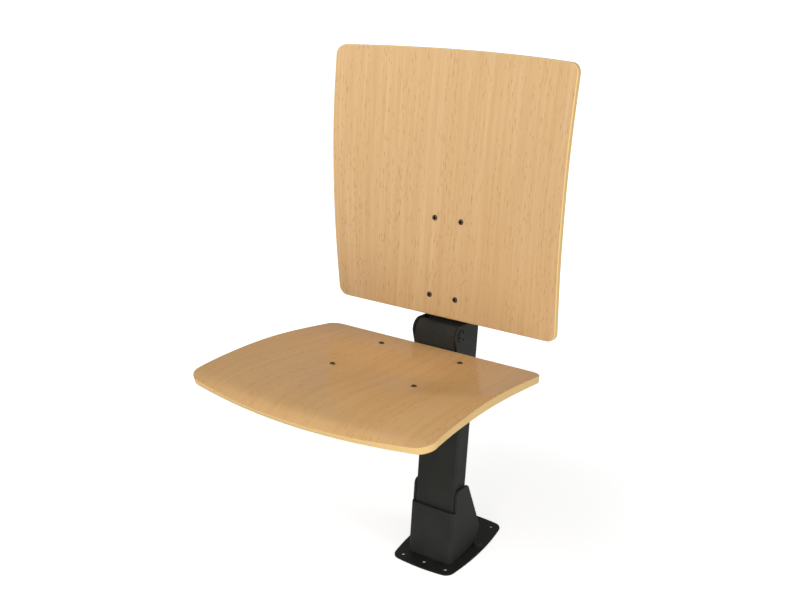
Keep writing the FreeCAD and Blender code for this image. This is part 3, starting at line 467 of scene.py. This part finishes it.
# Hinge pin, its fold stop and the two flanged bushes: a ground steel pin through both cheeks with a
# cross pin that limits the fold, and black nylon bushes that the barrel turns on.
ground_steel, start = new_material("ground_steel")
grinding = {"Vector": start.own_place(), "Scale": (2600.0, 60.0, 60.0)}
lines = noise(start, start.node("Mapping", {"vector_type": "POINT"}, grinding), scale=1.0)
finish_with(start, {"Base Color": lines.mix(rgb(176, 176, 174), rgb(214, 214, 214)), "Metallic": 1.0,
                    "Roughness": 0.2 + 0.2 * lines})
nylon, start = new_material("black_nylon")
cloud = noise(start, start.own_place(), scale=90.0, detail=3.0)
finish_with(start, {"Base Color": cloud.mix(rgb(30, 30, 30), rgb(42, 42, 41)),
                    "Roughness": 0.38 + 0.15 * cloud})


def dress(node, material):
    """Gives its own finish to a node that keeps its CAD shape."""
    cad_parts[node].data.materials.clear()
    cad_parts[node].data.materials.append(material)


for node, material in (("hinge_pin", ground_steel), ("fold_stop_pin", ground_steel),
                       ("hinge_bush_left", nylon), ("hinge_bush_right", nylon)):
    dress(node, material)

# Pin caps: round covers pressed on the ends of the pin, outside the cheeks, each with three small
# dimples for a pin spanner. They are coated with the stand; the dimples are painted dark, as painted shade.
pin_cap_radius, pin_cap_thick, pin_cap_soft = 11.0, 2.0, 1.2
dimple_radius, dimple_deep, dimple_pitch, dimple_angles = 2.0, 1.2, 7.4, (74, 190, 304)
face_rings, cap_sides, face_band = 40, 120, 0.1
# Painted shade: a near-black finish standing in for the shade in the caps' dimples and the screws' sockets.
painted_hollow_shade, start = new_material("painted_shade_in_hollows")
smear = noise(start, start.own_place(), scale=600.0, detail=3.0, roughness=0.6)
finish_with(start, {"Base Color": smear.mix(rgb(13, 11, 10), rgb(24, 21, 19)),
                    "Roughness": 0.8 + 0.1 * smear, "Specular IOR Level": 0.1})


def paint_hollow_shade(piece, reach, centres, axis):
    """Gives painted shade to the faces whose middle lies within reach, mm, of an axis through a centre."""
    piece.data.materials.append(painted_hollow_shade)
    middle = np.zeros(3 * len(piece.data.polygons))
    piece.data.polygons.foreach_get("center", middle)
    gap = middle.reshape(-1, 1, 3) - np.asarray(centres)[None]
    gap -= (gap @ np.asarray(axis))[..., None] * axis
    inside = (np.linalg.norm(gap, axis=-1).min(1) < reach * mm).astype(np.int32)
    piece.data.polygons.foreach_set("material_index", inside)


profile = [(r, pin_cap_thick, 0) for r in np.linspace(0, pin_cap_radius - pin_cap_soft, face_rings)]
profile += [(pin_cap_radius - 0.3 * pin_cap_soft, pin_cap_thick - 0.3 * pin_cap_soft, 0),
            (pin_cap_radius, pin_cap_thick - pin_cap_soft, 0), (pin_cap_radius, 0, 0), (0, 0, 0)]
points, quads, triangles = turned(profile, cap_sides)
dimples = [(dimple_pitch * math.cos(a), dimple_pitch * math.sin(a)) for a in np.radians(dimple_angles)]
for there in dimples:
    bowl = np.clip(1 - ((points[:, :2] - there) ** 2).sum(1) / dimple_radius ** 2, 0, 1)
    points[:, 2] -= np.where(points[:, 2] > pin_cap_thick - face_band, dimple_deep * np.sqrt(bowl), 0)
for side, sign in (("left", -1), ("right", 1)):
    outwards = sign * (points[:, 2] + post_half_x + cheek_thick)
    disc = np.stack([outwards, points[:, 0] + pivot_y, points[:, 1] + pivot_z], 1)
    pin_cap = solid("pin_cap_disc_" + side, leaned(disc), quads, triangles)
    pin_cap.data.materials.append(powder)
    centres = np.array([(sign * post_half_x, pivot_y + y, pivot_z + z) for y, z in dimples])
    # The dimples get painted shade.
    paint_hollow_shade(pin_cap, dimple_radius, leaned(centres), (1, 0, 0))
    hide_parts("pin_cap_" + side)

# Hinge barrel: a thick steel tube that turns on the bushes between the cheeks and carries the seat.
# Its ends are faced square and its edges are rounded.
barrel_radius, barrel_bore, barrel_half, barrel_sides = 16.5, 11.0, 38.2, 96
barrel_edge, barrel_edge_mid = 0.8, 0.2
profile = [(barrel_radius - barrel_edge, barrel_half, 0),
           (barrel_radius - barrel_edge_mid, barrel_half - barrel_edge_mid, 0),
           (barrel_radius, barrel_half - barrel_edge, 0)]
profile = [(r, -h, 0) for r, h, _ in profile] + profile[::-1]
profile = [(barrel_bore, -barrel_half, 0)] + profile + [(barrel_bore, barrel_half, 0)]
points, quads, triangles = turned(profile, barrel_sides, ring=True)
points = np.stack([points[:, 2], points[:, 0] + pivot_y, points[:, 1] + pivot_z], 1)
barrel = solid("hinge_barrel_tube", leaned(points), quads, triangles, "seat")
barrel.data.materials.append(powder)
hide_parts("hinge_barrel")

# Hinge leaf and ribs: a 5 mm plate bent at a right angle, its upright welded to the front of the barrel,
# stiffened by two ribs on edge that also come down on the stop buffer.
leaf_half, leaf_front, leaf_low, leaf_thick = 39.0, -229.5, pivot_z - 53.4, 5.0
leaf_soft, leaf_bend_outer, leaf_bend_inner = 1.2, 8.0, 3.0
leaf_face = pivot_y - barrel_radius
leaf_back, leaf_top = leaf_face + leaf_thick, leaf_low + leaf_thick
rib_inner, rib_outer, rib_front, rib_rear, cope_steps = 28.0, 34.0, -224.5, -30.3, 15
rib_front_low, rib_rear_low = leaf_low - 10.0, leaf_low - 24.0
outline = rounded_loop([(leaf_front, leaf_low), (leaf_back, leaf_low), (leaf_back, pivot_z),
                        (leaf_face, pivot_z), (leaf_face, leaf_top), (leaf_front, leaf_top)],
                       [leaf_soft, leaf_bend_outer, leaf_soft, leaf_soft, leaf_bend_inner, leaf_soft])
points, quads, triangles = cut_sheet([outline], 2 * leaf_half, 0.6 * leaf_soft)
points = np.stack([points[:, 2] - leaf_half, points[:, 0], points[:, 1]], 1)
leaf = solid("hinge_leaf_bent", leaned(points), quads, triangles, "seat")
leaf.data.materials.append(powder)
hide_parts("hinge_leaf")
a = np.linspace(*(math.asin((y - pivot_y) / barrel_radius) for y in (rib_rear, leaf_back)), cope_steps)
cope = np.stack([pivot_y + barrel_radius * np.sin(a), pivot_z - barrel_radius * np.cos(a)], 1)
outline = np.concatenate([[(rib_front, rib_front_low), (rib_rear, rib_rear_low)], cope,
                          [(leaf_back, leaf_low), (rib_front, leaf_low)]])
points, quads, triangles = cut_sheet([outline], rib_outer - rib_inner, cut_edge)
for side, inner_x in (("left", -rib_outer), ("right", rib_inner)):
    flank = np.stack([points[:, 2] + inner_x, points[:, 0], points[:, 1]], 1)
    rib = solid("seat_rib_plate_" + side, leaned(flank), quads, triangles, "seat")
    rib.data.materials.append(powder)
    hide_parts("seat_rib_" + side)

# Seat plate, pads and nuts: a 4 mm plate welded on the leaf spreads the load under the seat; four black
# pads take up the seat's curve, and zinc plated nuts hold the four screws from below. The back's plate,
# pads and nuts and the rubber stop buffer keep their CAD shapes too.
tray_half, tray_front, tray_rear, tray_thick, tray_corner, tray_edge = 97.0, -261.0, -83.0, 4.0, 12.0, 0.7
tray_low = leaf_top
seat_screw_x, seat_screw_rear, seat_screw_front = 77.0, -103.0, -241.0
nut_flats, nut_high, nut_sides, thread_radius = 10.0, 5.0, 72, 3.0
nut_lead, nut_face_in, nut_chamfer, nut_edge = 0.5, 0.1, 0.9, 0.3
zinc, start = new_material("zinc_plated_steel")
bloom = noise(start, start.own_place(), scale=240.0, detail=4.0, roughness=0.65)
zinc_colour = bloom.between(0.3, 0.7).mix(rgb(158, 158, 152), rgb(206, 206, 204))
finish_with(start, {"Base Color": zinc_colour, "Metallic": 1.0, "Roughness": 0.26 + 0.22 * bloom,
                    "Normal": dented(start, bloom, strength=0.12, distance=0.0001)})
rubber, start = new_material("black_rubber_matt")
grain = noise(start, start.own_place(), scale=700.0, detail=3.0, roughness=0.6)
finish_with(start, {"Base Color": grain.mix(rgb(30, 30, 30), rgb(44, 43, 42)),
                    "Roughness": 0.7 + 0.2 * grain,
                    "Normal": dented(start, grain, strength=0.3, distance=0.0002)})
outline = rounded_loop(rectangle(tray_half, tray_front, tray_rear), tray_corner)
points, quads, triangles = cut_sheet([outline], tray_thick, tray_edge)
tray = solid("seat_plate_sheet", leaned(points + [0, 0, tray_low]), quads, triangles, "seat")
tray.data.materials.append(powder)
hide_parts("seat_plate")
nut_point = nut_flats / 2 / math.cos(math.pi / 6)
nut = turned([(thread_radius, nut_lead, 0), (thread_radius + nut_lead, 0, 0),
              (nut_flats / 2 - nut_face_in, 0, 0), (nut_point, nut_chamfer, 1),
              (nut_point, nut_high - nut_edge, 1), (nut_point - nut_edge, nut_high, 1),
              (thread_radius, nut_high, 0)], nut_sides, ring=True)
seat_holes = [(x, y) for x in (-seat_screw_x, seat_screw_x) for y in (seat_screw_rear, seat_screw_front)]
points, quads, triangles = repeated(nut, [(x, y, tray_low - nut_high) for x, y in seat_holes])
nuts = solid("seat_hex_nuts", leaned(points), quads, triangles, "seat")
nuts.data.materials.append(zinc)
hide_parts("seat_nuts")
for node, material in (("seat_pads", plastic), ("stop_buffer", rubber), ("back_pads", plastic),
                       ("back_plate", powder), ("back_nuts", zinc)):
    dress(node, material)

# Seat panel: 12 mm moulded beech plywood, dished for the sitter, its front edge turned down and bowed
# in plan. The face veneer runs from front to back under a gloss lacquer; the edges are just broken.
ply_thick, ply_layers, seat_soft, seat_corner = 12.0, 9, 1.0, 20.0
seat_depth, seat_rear_half, seat_front_half, seat_bow = 384.0, 206.5, 216.0, 26.0
seat_rear_y, seat_rear_z = -62.0, pivot_z - 22.6
seat_stations = np.array([0, 72, 145, 215, 285, 325, 350, 370, 384.0])
seat_middle = np.array([0, -4.5, -7.8, -3.4, 0.6, -0.6, -3.6, -9.2, -20.0])
seat_sides = np.array([0, 5.4, 9.5, 9.9, 6.0, 2.2, -1.0, -4.8, -9.3])


def spline(stations, values, at):
    """Natural cubic spline: its second slopes m solve h m- + 2 (h + k) m + k m+ = 6 (change of slope),
    and are nothing at the ends."""
    h = np.diff(stations)
    n = len(stations)
    system, right = np.eye(n), np.zeros(n)
    i = np.arange(1, n - 1)
    system[i, i - 1], system[i, i], system[i, i + 1] = h[:-1], 2 * (h[:-1] + h[1:]), h[1:]
    right[1:-1] = 6 * np.diff(np.diff(values) / h)
    m = np.linalg.solve(system, right)
    k = np.clip(np.searchsorted(stations, at) - 1, 0, n - 2)
    a, b, w = stations[k + 1] - at, at - stations[k], h[k]
    curved = (m[k] * a ** 3 + m[k + 1] * b ** 3) / (6 * w)
    return curved + (values[k] / w - m[k] * w / 6) * a + (values[k + 1] / w - m[k + 1] * w / 6) * b


def seat_surface(u, d):
    """Upper face at u (-1 to 1 across) and d mm from the rear edge: x = u half;
    z = middle + (side - middle) u u; the front edge is bowed by seat_bow u u."""
    share = d / seat_depth
    middle, sides = spline(seat_stations, seat_middle, d), spline(seat_stations, seat_sides, d)
    half = seat_rear_half + (seat_front_half - seat_rear_half) * share
    y = seat_rear_y - d + seat_bow * share * u * u
    return np.stack([u * half, y, seat_rear_z + middle + (sides - middle) * u * u], -1)


def moulded_panel(name, surface, length, half, corner, soft, facing, square, body):
    """Sheet on a surface S(u, d): the face is a grid of rows that get shorter in an arc at both ends; the
    edge repeats its border, moved inwards and down in a quarter round, a straight and a quarter round;
    the far face is S - thick n. n is the surface's normal if the edge is square to it, else the facing
    direction. UV holds metres across and along the grain, ply the depth as a share of the thickness."""
    arc_steps, face_rows, face_columns, edge_steps = 10, 64, 73, 6

    def rows(inset):
        r = corner - inset
        a = np.linspace(0, math.pi / 2, arc_steps)
        near, off = inset + r * (1 - np.cos(a)), r * (1 - np.sin(a))
        between = np.linspace(corner, length - corner, face_rows)[1:-1]
        d = np.concatenate([near, between, (length - near)[::-1]])
        off = np.concatenate([off, 0 * between, off[::-1]])
        u = np.linspace(-1, 1, face_columns)[None] * ((half - inset - off) / half)[:, None]
        return u, np.repeat(d[:, None], face_columns, 1)

    def sheet(u, d, deep):
        step = 1e-3
        across = surface(u + step, d) - surface(u - step, d)
        along = surface(u, np.clip(d + step, 0, length)) - surface(u, np.clip(d - step, 0, length))
        n = np.cross(across, along)
        n *= np.sign((n * facing).sum(-1, keepdims=True)) / np.linalg.norm(n, axis=-1, keepdims=True)
        n = n if square else np.asarray(facing, float)
        return (surface(u, d) - n * deep).reshape(-1, 3)

    w = np.linspace(0, math.pi / 2, edge_steps)
    inset, depth = soft * (1 - np.sin(w)), soft * (1 - np.cos(w))
    inset, depth = np.concatenate([inset, inset[::-1]]), np.concatenate([depth, ply_thick - depth[::-1]])
    u, d = rows(soft)
    tall, wide = u.shape
    index = np.arange(tall * wide).reshape(tall, wide)
    border = np.concatenate([index[0, :-1], index[:-1, -1], index[-1, :0:-1], index[:0:-1, 0]])
    count = len(border)
    points = [sheet(u, d, 0.0), sheet(u, d, ply_thick)]
    grain, ply = [(u, d), (u, d)], [np.zeros(u.size), np.ones(u.size)]
    for e, deep in list(zip(inset, depth))[1:-1]:
        ru, rd = (v.ravel()[border] for v in rows(e))
        points.append(sheet(ru, rd, deep))
        grain.append((ru, rd))
        ply.append(np.full(count, deep / ply_thick))
    face = mesh_grid(tall, wide, False)
    rings = [border] + [2 * tall * wide + i * count + np.arange(count) for i in range(len(inset) - 2)]
    rings.append(border + tall * wide)
    edge = [np.stack([p, np.roll(p, -1), np.roll(q, -1), q], 1) for p, q in zip(rings[:-1], rings[1:])]
    quads = np.concatenate([face[:, ::-1], face + tall * wide] + edge)
    panel = solid(name, leaned(np.concatenate(points)), quads, (), body)
    uv = np.concatenate([np.stack([gu.ravel() * half, gd.ravel()], 1) for gu, gd in grain]) * mm
    vertex = np.zeros(len(panel.data.loops), int)
    panel.data.loops.foreach_get("vertex_index", vertex)
    panel.data.uv_layers.new(name="grain").data.foreach_set("uv", uv[vertex].astype(np.float32).ravel())
    depths = np.concatenate(ply).astype(np.float32)
    panel.data.attributes.new("ply", "FLOAT", "POINT").data.foreach_set("value", depths)
    return panel


def lacquered_beech(name, light, deep, arch_across, arch_along, arch_slim, rings, figure, seed):
    """Beech veneer on the grain UV: broad bands of two tans, ring lines (ellipses round an arch centre,
    drawn out along the grain), fine streaks, and dashes in stretched Voronoi cells, closer together in
    some bands; on the edge, thin layers by depth. The lacquer is a thin smooth coat."""
    material, start = new_material(name)
    grain = start.node("UVMap", {"uv_map": "grain"})

    def scaled(across, along, shift=0.0):
        inputs = {"Vector": grain, "Location": (seed + shift, 0.7 * seed + shift, seed),
                  "Scale": (across, along, 1.0)}
        return start.node("Mapping", {"vector_type": "POINT"}, inputs)

    def shade(*part):
        return rgb(*(np.array(deep) * part))

    def dashes(across, along, wide, share, shift):
        cell = {"Vector": scaled(across, along, shift), "Scale": 1.0, "Randomness": 1.0}
        gap = start.node("TexVoronoi", {"voronoi_dimensions": "2D"}, cell)
        pick = start.node("SeparateColor", None, {"Color": gap.other("Color")})
        return (1 - gap.between(0.3 * wide, wide)) * pick.between(1 - share, 1.35 - share)

    bands = noise(start, scaled(across=16.0, along=0.7), scale=1.0)
    drift = noise(start, scaled(across=7.0, along=2.2), scale=1.0, detail=3.0)
    streak = noise(start, scaled(across=420.0, along=5.0), scale=1.0, detail=3.0, roughness=0.6)
    broad = noise(start, scaled(across=95.0, along=1.6), scale=1.0)
    across = start.node("SeparateXYZ", None, {"Vector": grain})
    bowed = across - arch_across + (drift - 0.5) * 0.025
    rise = (across.other("Y") - arch_along) * arch_slim
    ring = start.maths("SQRT", bowed * bowed + rise * rise) * 75.0 + bands * 1.5
    ring = start.maths("PINGPONG", ring, 1.0)
    crowd = noise(start, scaled(across=38.0, along=1.2, shift=2.0), scale=1.0, detail=1.0)
    crowd = crowd.between(0.34, 0.66)
    fleck = dashes(across=190.0, along=20.0, wide=0.17, share=0.7, shift=0.0) * (0.35 + 0.65 * crowd)
    tick = dashes(across=310.0, along=42.0, wide=0.19, share=0.45, shift=5.0) * (0.25 + 0.75 * crowd)
    face = bands.between(0.25, 0.75).mix(rgb(*deep), rgb(*light))
    face = (broad.between(0.35, 0.7) * 0.3 * figure).mix(face, shade(0.955, 0.93, 0.89))
    face = (ring.between(0.5, 1.0) * rings).mix(face, shade(0.93, 0.89, 0.84))
    face = (streak.between(0.38, 0.72) * 0.42 * figure).mix(face, shade(0.945, 0.91, 0.85))
    face = (fleck * 0.5 * figure).mix(face, shade(0.8, 0.7, 0.57))
    face = (tick * 0.55 * figure).mix(face, shade(0.74, 0.63, 0.51))
    ply = start.node("Attribute", {"attribute_name": "ply"}, None, out=2)
    layer = start.maths("FRACT", ply * ply_layers)
    turned_ply = start.maths("PINGPONG", start.maths("FLOOR", ply * ply_layers), 1.0)
    fibre = noise(start, start.own_place(), scale=900.0, detail=3.0, roughness=0.6)
    edge = turned_ply.mix(rgb(255, 219, 148), rgb(252, 209, 137))
    edge = (fibre.between(0.5, 0.8) * 0.3).mix(edge, rgb(236, 190, 120))
    edge = ((1 - layer.between(0.0, 0.16)) * 0.25).mix(edge, rgb(214, 166, 102))
    rim = ply.between(0.012, 0.05) * (1 - ply.between(0.95, 0.988))
    dent = dented(start, streak * 0.7 - fleck * 0.5 - tick * 0.5, strength=0.05, distance=0.0002)
    finish_with(start, {"Base Color": rim.mix(face, edge), "Roughness": 0.48 + 0.14 * streak, "Normal": dent,
                        "Specular IOR Level": 0.08, "Coat Weight": 0.6, "Coat Roughness": 0.14,
                        "Coat IOR": 1.5})
    return material


seat_beech = lacquered_beech("seat_beech_lacquer", light=(241, 195, 136), deep=(236, 189, 128),
                             arch_across=-0.09, arch_along=0.5, arch_slim=0.16, rings=0.14,
                             figure=0.9, seed=3.0)
seat_panel = moulded_panel("seat_moulded_ply", seat_surface, seat_depth, seat_rear_half, seat_corner,
                           seat_soft, facing=(0, 0, 1), square=True, body="seat")
seat_panel.data.materials.append(seat_beech)
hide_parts("seat_panel")

# Back panel: 12 mm moulded beech plywood, straight across its lower edge and wrapped round the sitter
# higher up, crowned along the top. The veneer runs upwards; the finish is the seat's, the edges rounder.
back_height, back_low_half, back_top_half, back_crown = 441.0, 212.0, 220.0, 5.0
back_face_y, back_low_z, back_corner, back_soft = -43.2, pivot_z + 24.7, 16.0, 2.8
back_stations = back_height * np.array([0, 0.25, 0.5, 0.75, 1])
back_lean = np.array([0, 0.6, 2.0, 4.4, 8.1])
back_wrap = np.array([0, 19.2, 32.5, 39.0, 38.2])


def back_surface(u, h):
    """Front face at u (-1 to 1 across) and h mm up: x = u half; y = lean - wrap u u; the top is crowned."""
    share = h / back_height
    half = back_low_half + (back_top_half - back_low_half) * share
    y = back_face_y + spline(back_stations, back_lean, h) - spline(back_stations, back_wrap, h) * u * u
    return np.stack([u * half, y, back_low_z + h - back_crown * share * u * u], -1)


back_beech = lacquered_beech("back_beech_lacquer", light=(233, 196, 148), deep=(227, 189, 139),
                             arch_across=0.9, arch_along=0.2, arch_slim=0.05, rings=0.2,
                             figure=1.5, seed=11.0)
back_panel = moulded_panel("back_moulded_ply", back_surface, back_height, back_low_half, back_corner,
                           back_soft, facing=(0, -1, 0), square=False, body="stand")
back_panel.data.materials.append(back_beech)
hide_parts("back_panel")

# Panel screws: eight low round-headed socket screws, black oxide, sunk a millimetre into spot-faced
# holes; four hold the seat to its plate and four hold the back to the post. Their sockets are painted
# dark, as painted shade.
head_radius, head_high, head_top, head_sunk = 5.0, 2.6, 3.6, 1.0
head_socket, head_socket_floor, head_lip, head_lip_wide, head_lip_hex = 2.2, 1.3, 0.15, 0.25, 0.3
head_crown = [(head_top, head_high, 0), (4.1, 2.2, 0), (4.65, 1.6, 0), (head_radius, 0.8, 0),
              (head_radius, 0, 0)]
seat_shank, back_shank, shank_tip = 34.0, 36.0, 0.7
back_screw_x, back_screw_low, back_screw_high = 25.0, back_low_z + 35.2, back_low_z + 167.2
black_oxide, start = new_material("black_oxide_steel")
smear = noise(start, start.own_place(), scale=420.0, detail=3.0, roughness=0.6)
oxide_colour = smear.between(0.3, 0.75).mix(rgb(86, 74, 65), rgb(118, 104, 93))
finish_with(start, {"Base Color": oxide_colour, "Metallic": 0.3, "Roughness": 0.4 + 0.2 * smear,
                    "Normal": dented(start, smear, strength=0.15, distance=0.0001)})


def socket_screw(shank):
    """Turned screw, its head standing on height 0: a six-sided socket, a crown and a shank that long."""
    end = -shank - shank_tip
    socket = [(0, head_socket_floor, 0), (head_socket, head_socket_floor, 1),
              (head_socket, head_high - head_lip, 1), (head_socket + head_lip_wide, head_high, head_lip_hex)]
    thread = [(thread_radius, 0, 0), (thread_radius, -shank, 0), (thread_radius - shank_tip, end, 0),
              (0, end, 0)]
    return turned(socket + head_crown + thread)


heads = np.array(seat_holes)
level = seat_surface(heads[:, 0] / seat_rear_half, seat_rear_y - heads[:, 1])[:, 2] - head_sunk
heads = np.column_stack([heads, level])
points, quads, triangles = repeated(socket_screw(seat_shank), heads)
seat_screws = solid("seat_socket_screws", leaned(points), quads, triangles, "seat")
seat_screws.data.materials.append(black_oxide)
# The seat screws' sockets get painted shade.
paint_hollow_shade(seat_screws, head_socket, leaned(heads), (0, math.sin(lean), math.cos(lean)))
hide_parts("seat_screws")
heads = np.array([(x, z) for x in (-back_screw_x, back_screw_x) for z in (back_screw_low, back_screw_high)])
level = back_surface(heads[:, 0] / back_low_half, heads[:, 1] - back_low_z)[:, 1] + head_sunk
heads = np.column_stack([heads[:, 0], level, heads[:, 1]])
points, quads, triangles = socket_screw(back_shank)
points = np.stack([points[:, 0], -points[:, 2], points[:, 1]], 1)
points, quads, triangles = repeated((points, quads, triangles), heads)
back_screws = solid("back_socket_screws", leaned(points), quads, triangles)
back_screws.data.materials.append(black_oxide)
# The back screws' sockets get painted shade.
paint_hollow_shade(back_screws, head_socket, leaned(heads), (0, math.cos(lean), -math.sin(lean)))
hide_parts("back_screws")

# Floor and room: a wide pale floor that keeps the soft shadow, and a white room round it. Seen from the
# camera the floor glows to white, less so under the base plate, painted shade that shows in its holes;
# three soft lamps light the seat.
floor_reach = 30.0
floor_glow, far_glow, glow_from, glow_to = 0.62, 0.33, 0.2, 1.3
plate_shade, shade_x, shade_y = 0.4, (0.049, 0.053), (0.088, 0.092)
floor_mesh = bpy.data.meshes.new("floor")
corners = [(x, y, 0) for x, y in rectangle(floor_reach, -floor_reach, floor_reach)]
floor_mesh.from_pydata(corners, [], [(0, 1, 2, 3)])
floor = bpy.data.objects.new("floor", floor_mesh)
bpy.context.scene.collection.objects.link(floor)
pale, start = new_material("pale_floor")
seen = start.node("LightPath")
place = start.own_place()
cloud = noise(start, place, scale=0.7)
matt = start.node("BsdfDiffuse", None, {"Color": cloud.mix((0.86, 0.86, 0.86, 1), (0.88, 0.88, 0.88, 1))})
away = start.node("VectorMath", {"operation": "LENGTH"}, {0: place}, out=1)
split = start.node("SeparateXYZ", None, {"Vector": place})
aside, ahead = start.maths("ABSOLUTE", split), start.maths("ABSOLUTE", split.other("Y"))
# Painted shade: the floor's glow is cut under the base plate, so its holes read dim.
clear = start.maths("MAXIMUM", aside.between(*shade_x), ahead.between(*shade_y))
strength = seen * (plate_shade + (1 - plate_shade) * clear)
strength = strength * (floor_glow + far_glow * away.between(glow_from, glow_to))
glow = start.node("Emission", None, {"Color": (1, 1, 1, 1), "Strength": strength})
start.node("OutputMaterial", None, {"Surface": start.node("AddShader", None, {0: matt, 1: glow})})
floor_mesh.materials.append(pale)

ambient, mirrored = 0.27, 0.36
room = bpy.data.worlds.new("white_room")
bpy.context.scene.world = room
room.use_nodes = True
room.node_tree.nodes.clear()
start = Tone(room.node_tree)
path = start.node("LightPath")
shown = start.maths("MAXIMUM", path, path.other("Is Transmission Ray"))
bright = ambient + (1 - ambient) * shown + (mirrored - ambient) * path.other("Is Glossy Ray")
sky = start.node("Background", None, {"Color": (1, 1, 1, 1), "Strength": bright})
start.node("OutputWorld", None, {"Surface": sky})


def soft_lamp(name, place, aim, size, power):
    """Square area lamp of that side in metres, turned to look at a point."""
    data = bpy.data.lights.new(name, "AREA")
    data.size, data.energy = size, power
    lamp = bpy.data.objects.new(name, data)
    lamp.location = place
    lamp.rotation_euler = (Vector(aim) - Vector(place)).to_track_quat("-Z", "Y").to_euler()
    lamp.visible_glossy = False
    bpy.context.scene.collection.objects.link(lamp)


soft_lamp("front_lamp", place=(-0.3, -1.8, 1.75), aim=(0.3, 0, 2.7), size=1.2, power=37.0)
soft_lamp("right_lamp", place=(2.2, 0.0, 1.0), aim=(0, 0, 0.6), size=1.2, power=15.0)
soft_lamp("low_lamp", place=(0.5, -1.8, 0.25), aim=(0, -0.2, 0.35), size=0.8, power=10.0)

# Camera: stands in front and to the right, a little above the top of the back, and looks down at the
# seat. Its focal length is given in pixels of an image 800 wide.
camera_turn, camera_dip, focal_pixels, image_wide = 33.6, 20.239, 1049.7, 800
camera_data = bpy.data.cameras.new("camera")
camera_data.sensor_fit, camera_data.sensor_width = "HORIZONTAL", 36.0
camera_data.lens = focal_pixels * camera_data.sensor_width / image_wide
camera = bpy.data.objects.new("camera", camera_data)
camera.location = (0.8588, -1.4554, 1.1029)
camera.rotation_euler = (math.radians(90 - camera_dip), 0, math.radians(camera_turn))
bpy.context.scene.collection.objects.link(camera)
bpy.context.scene.camera = camera
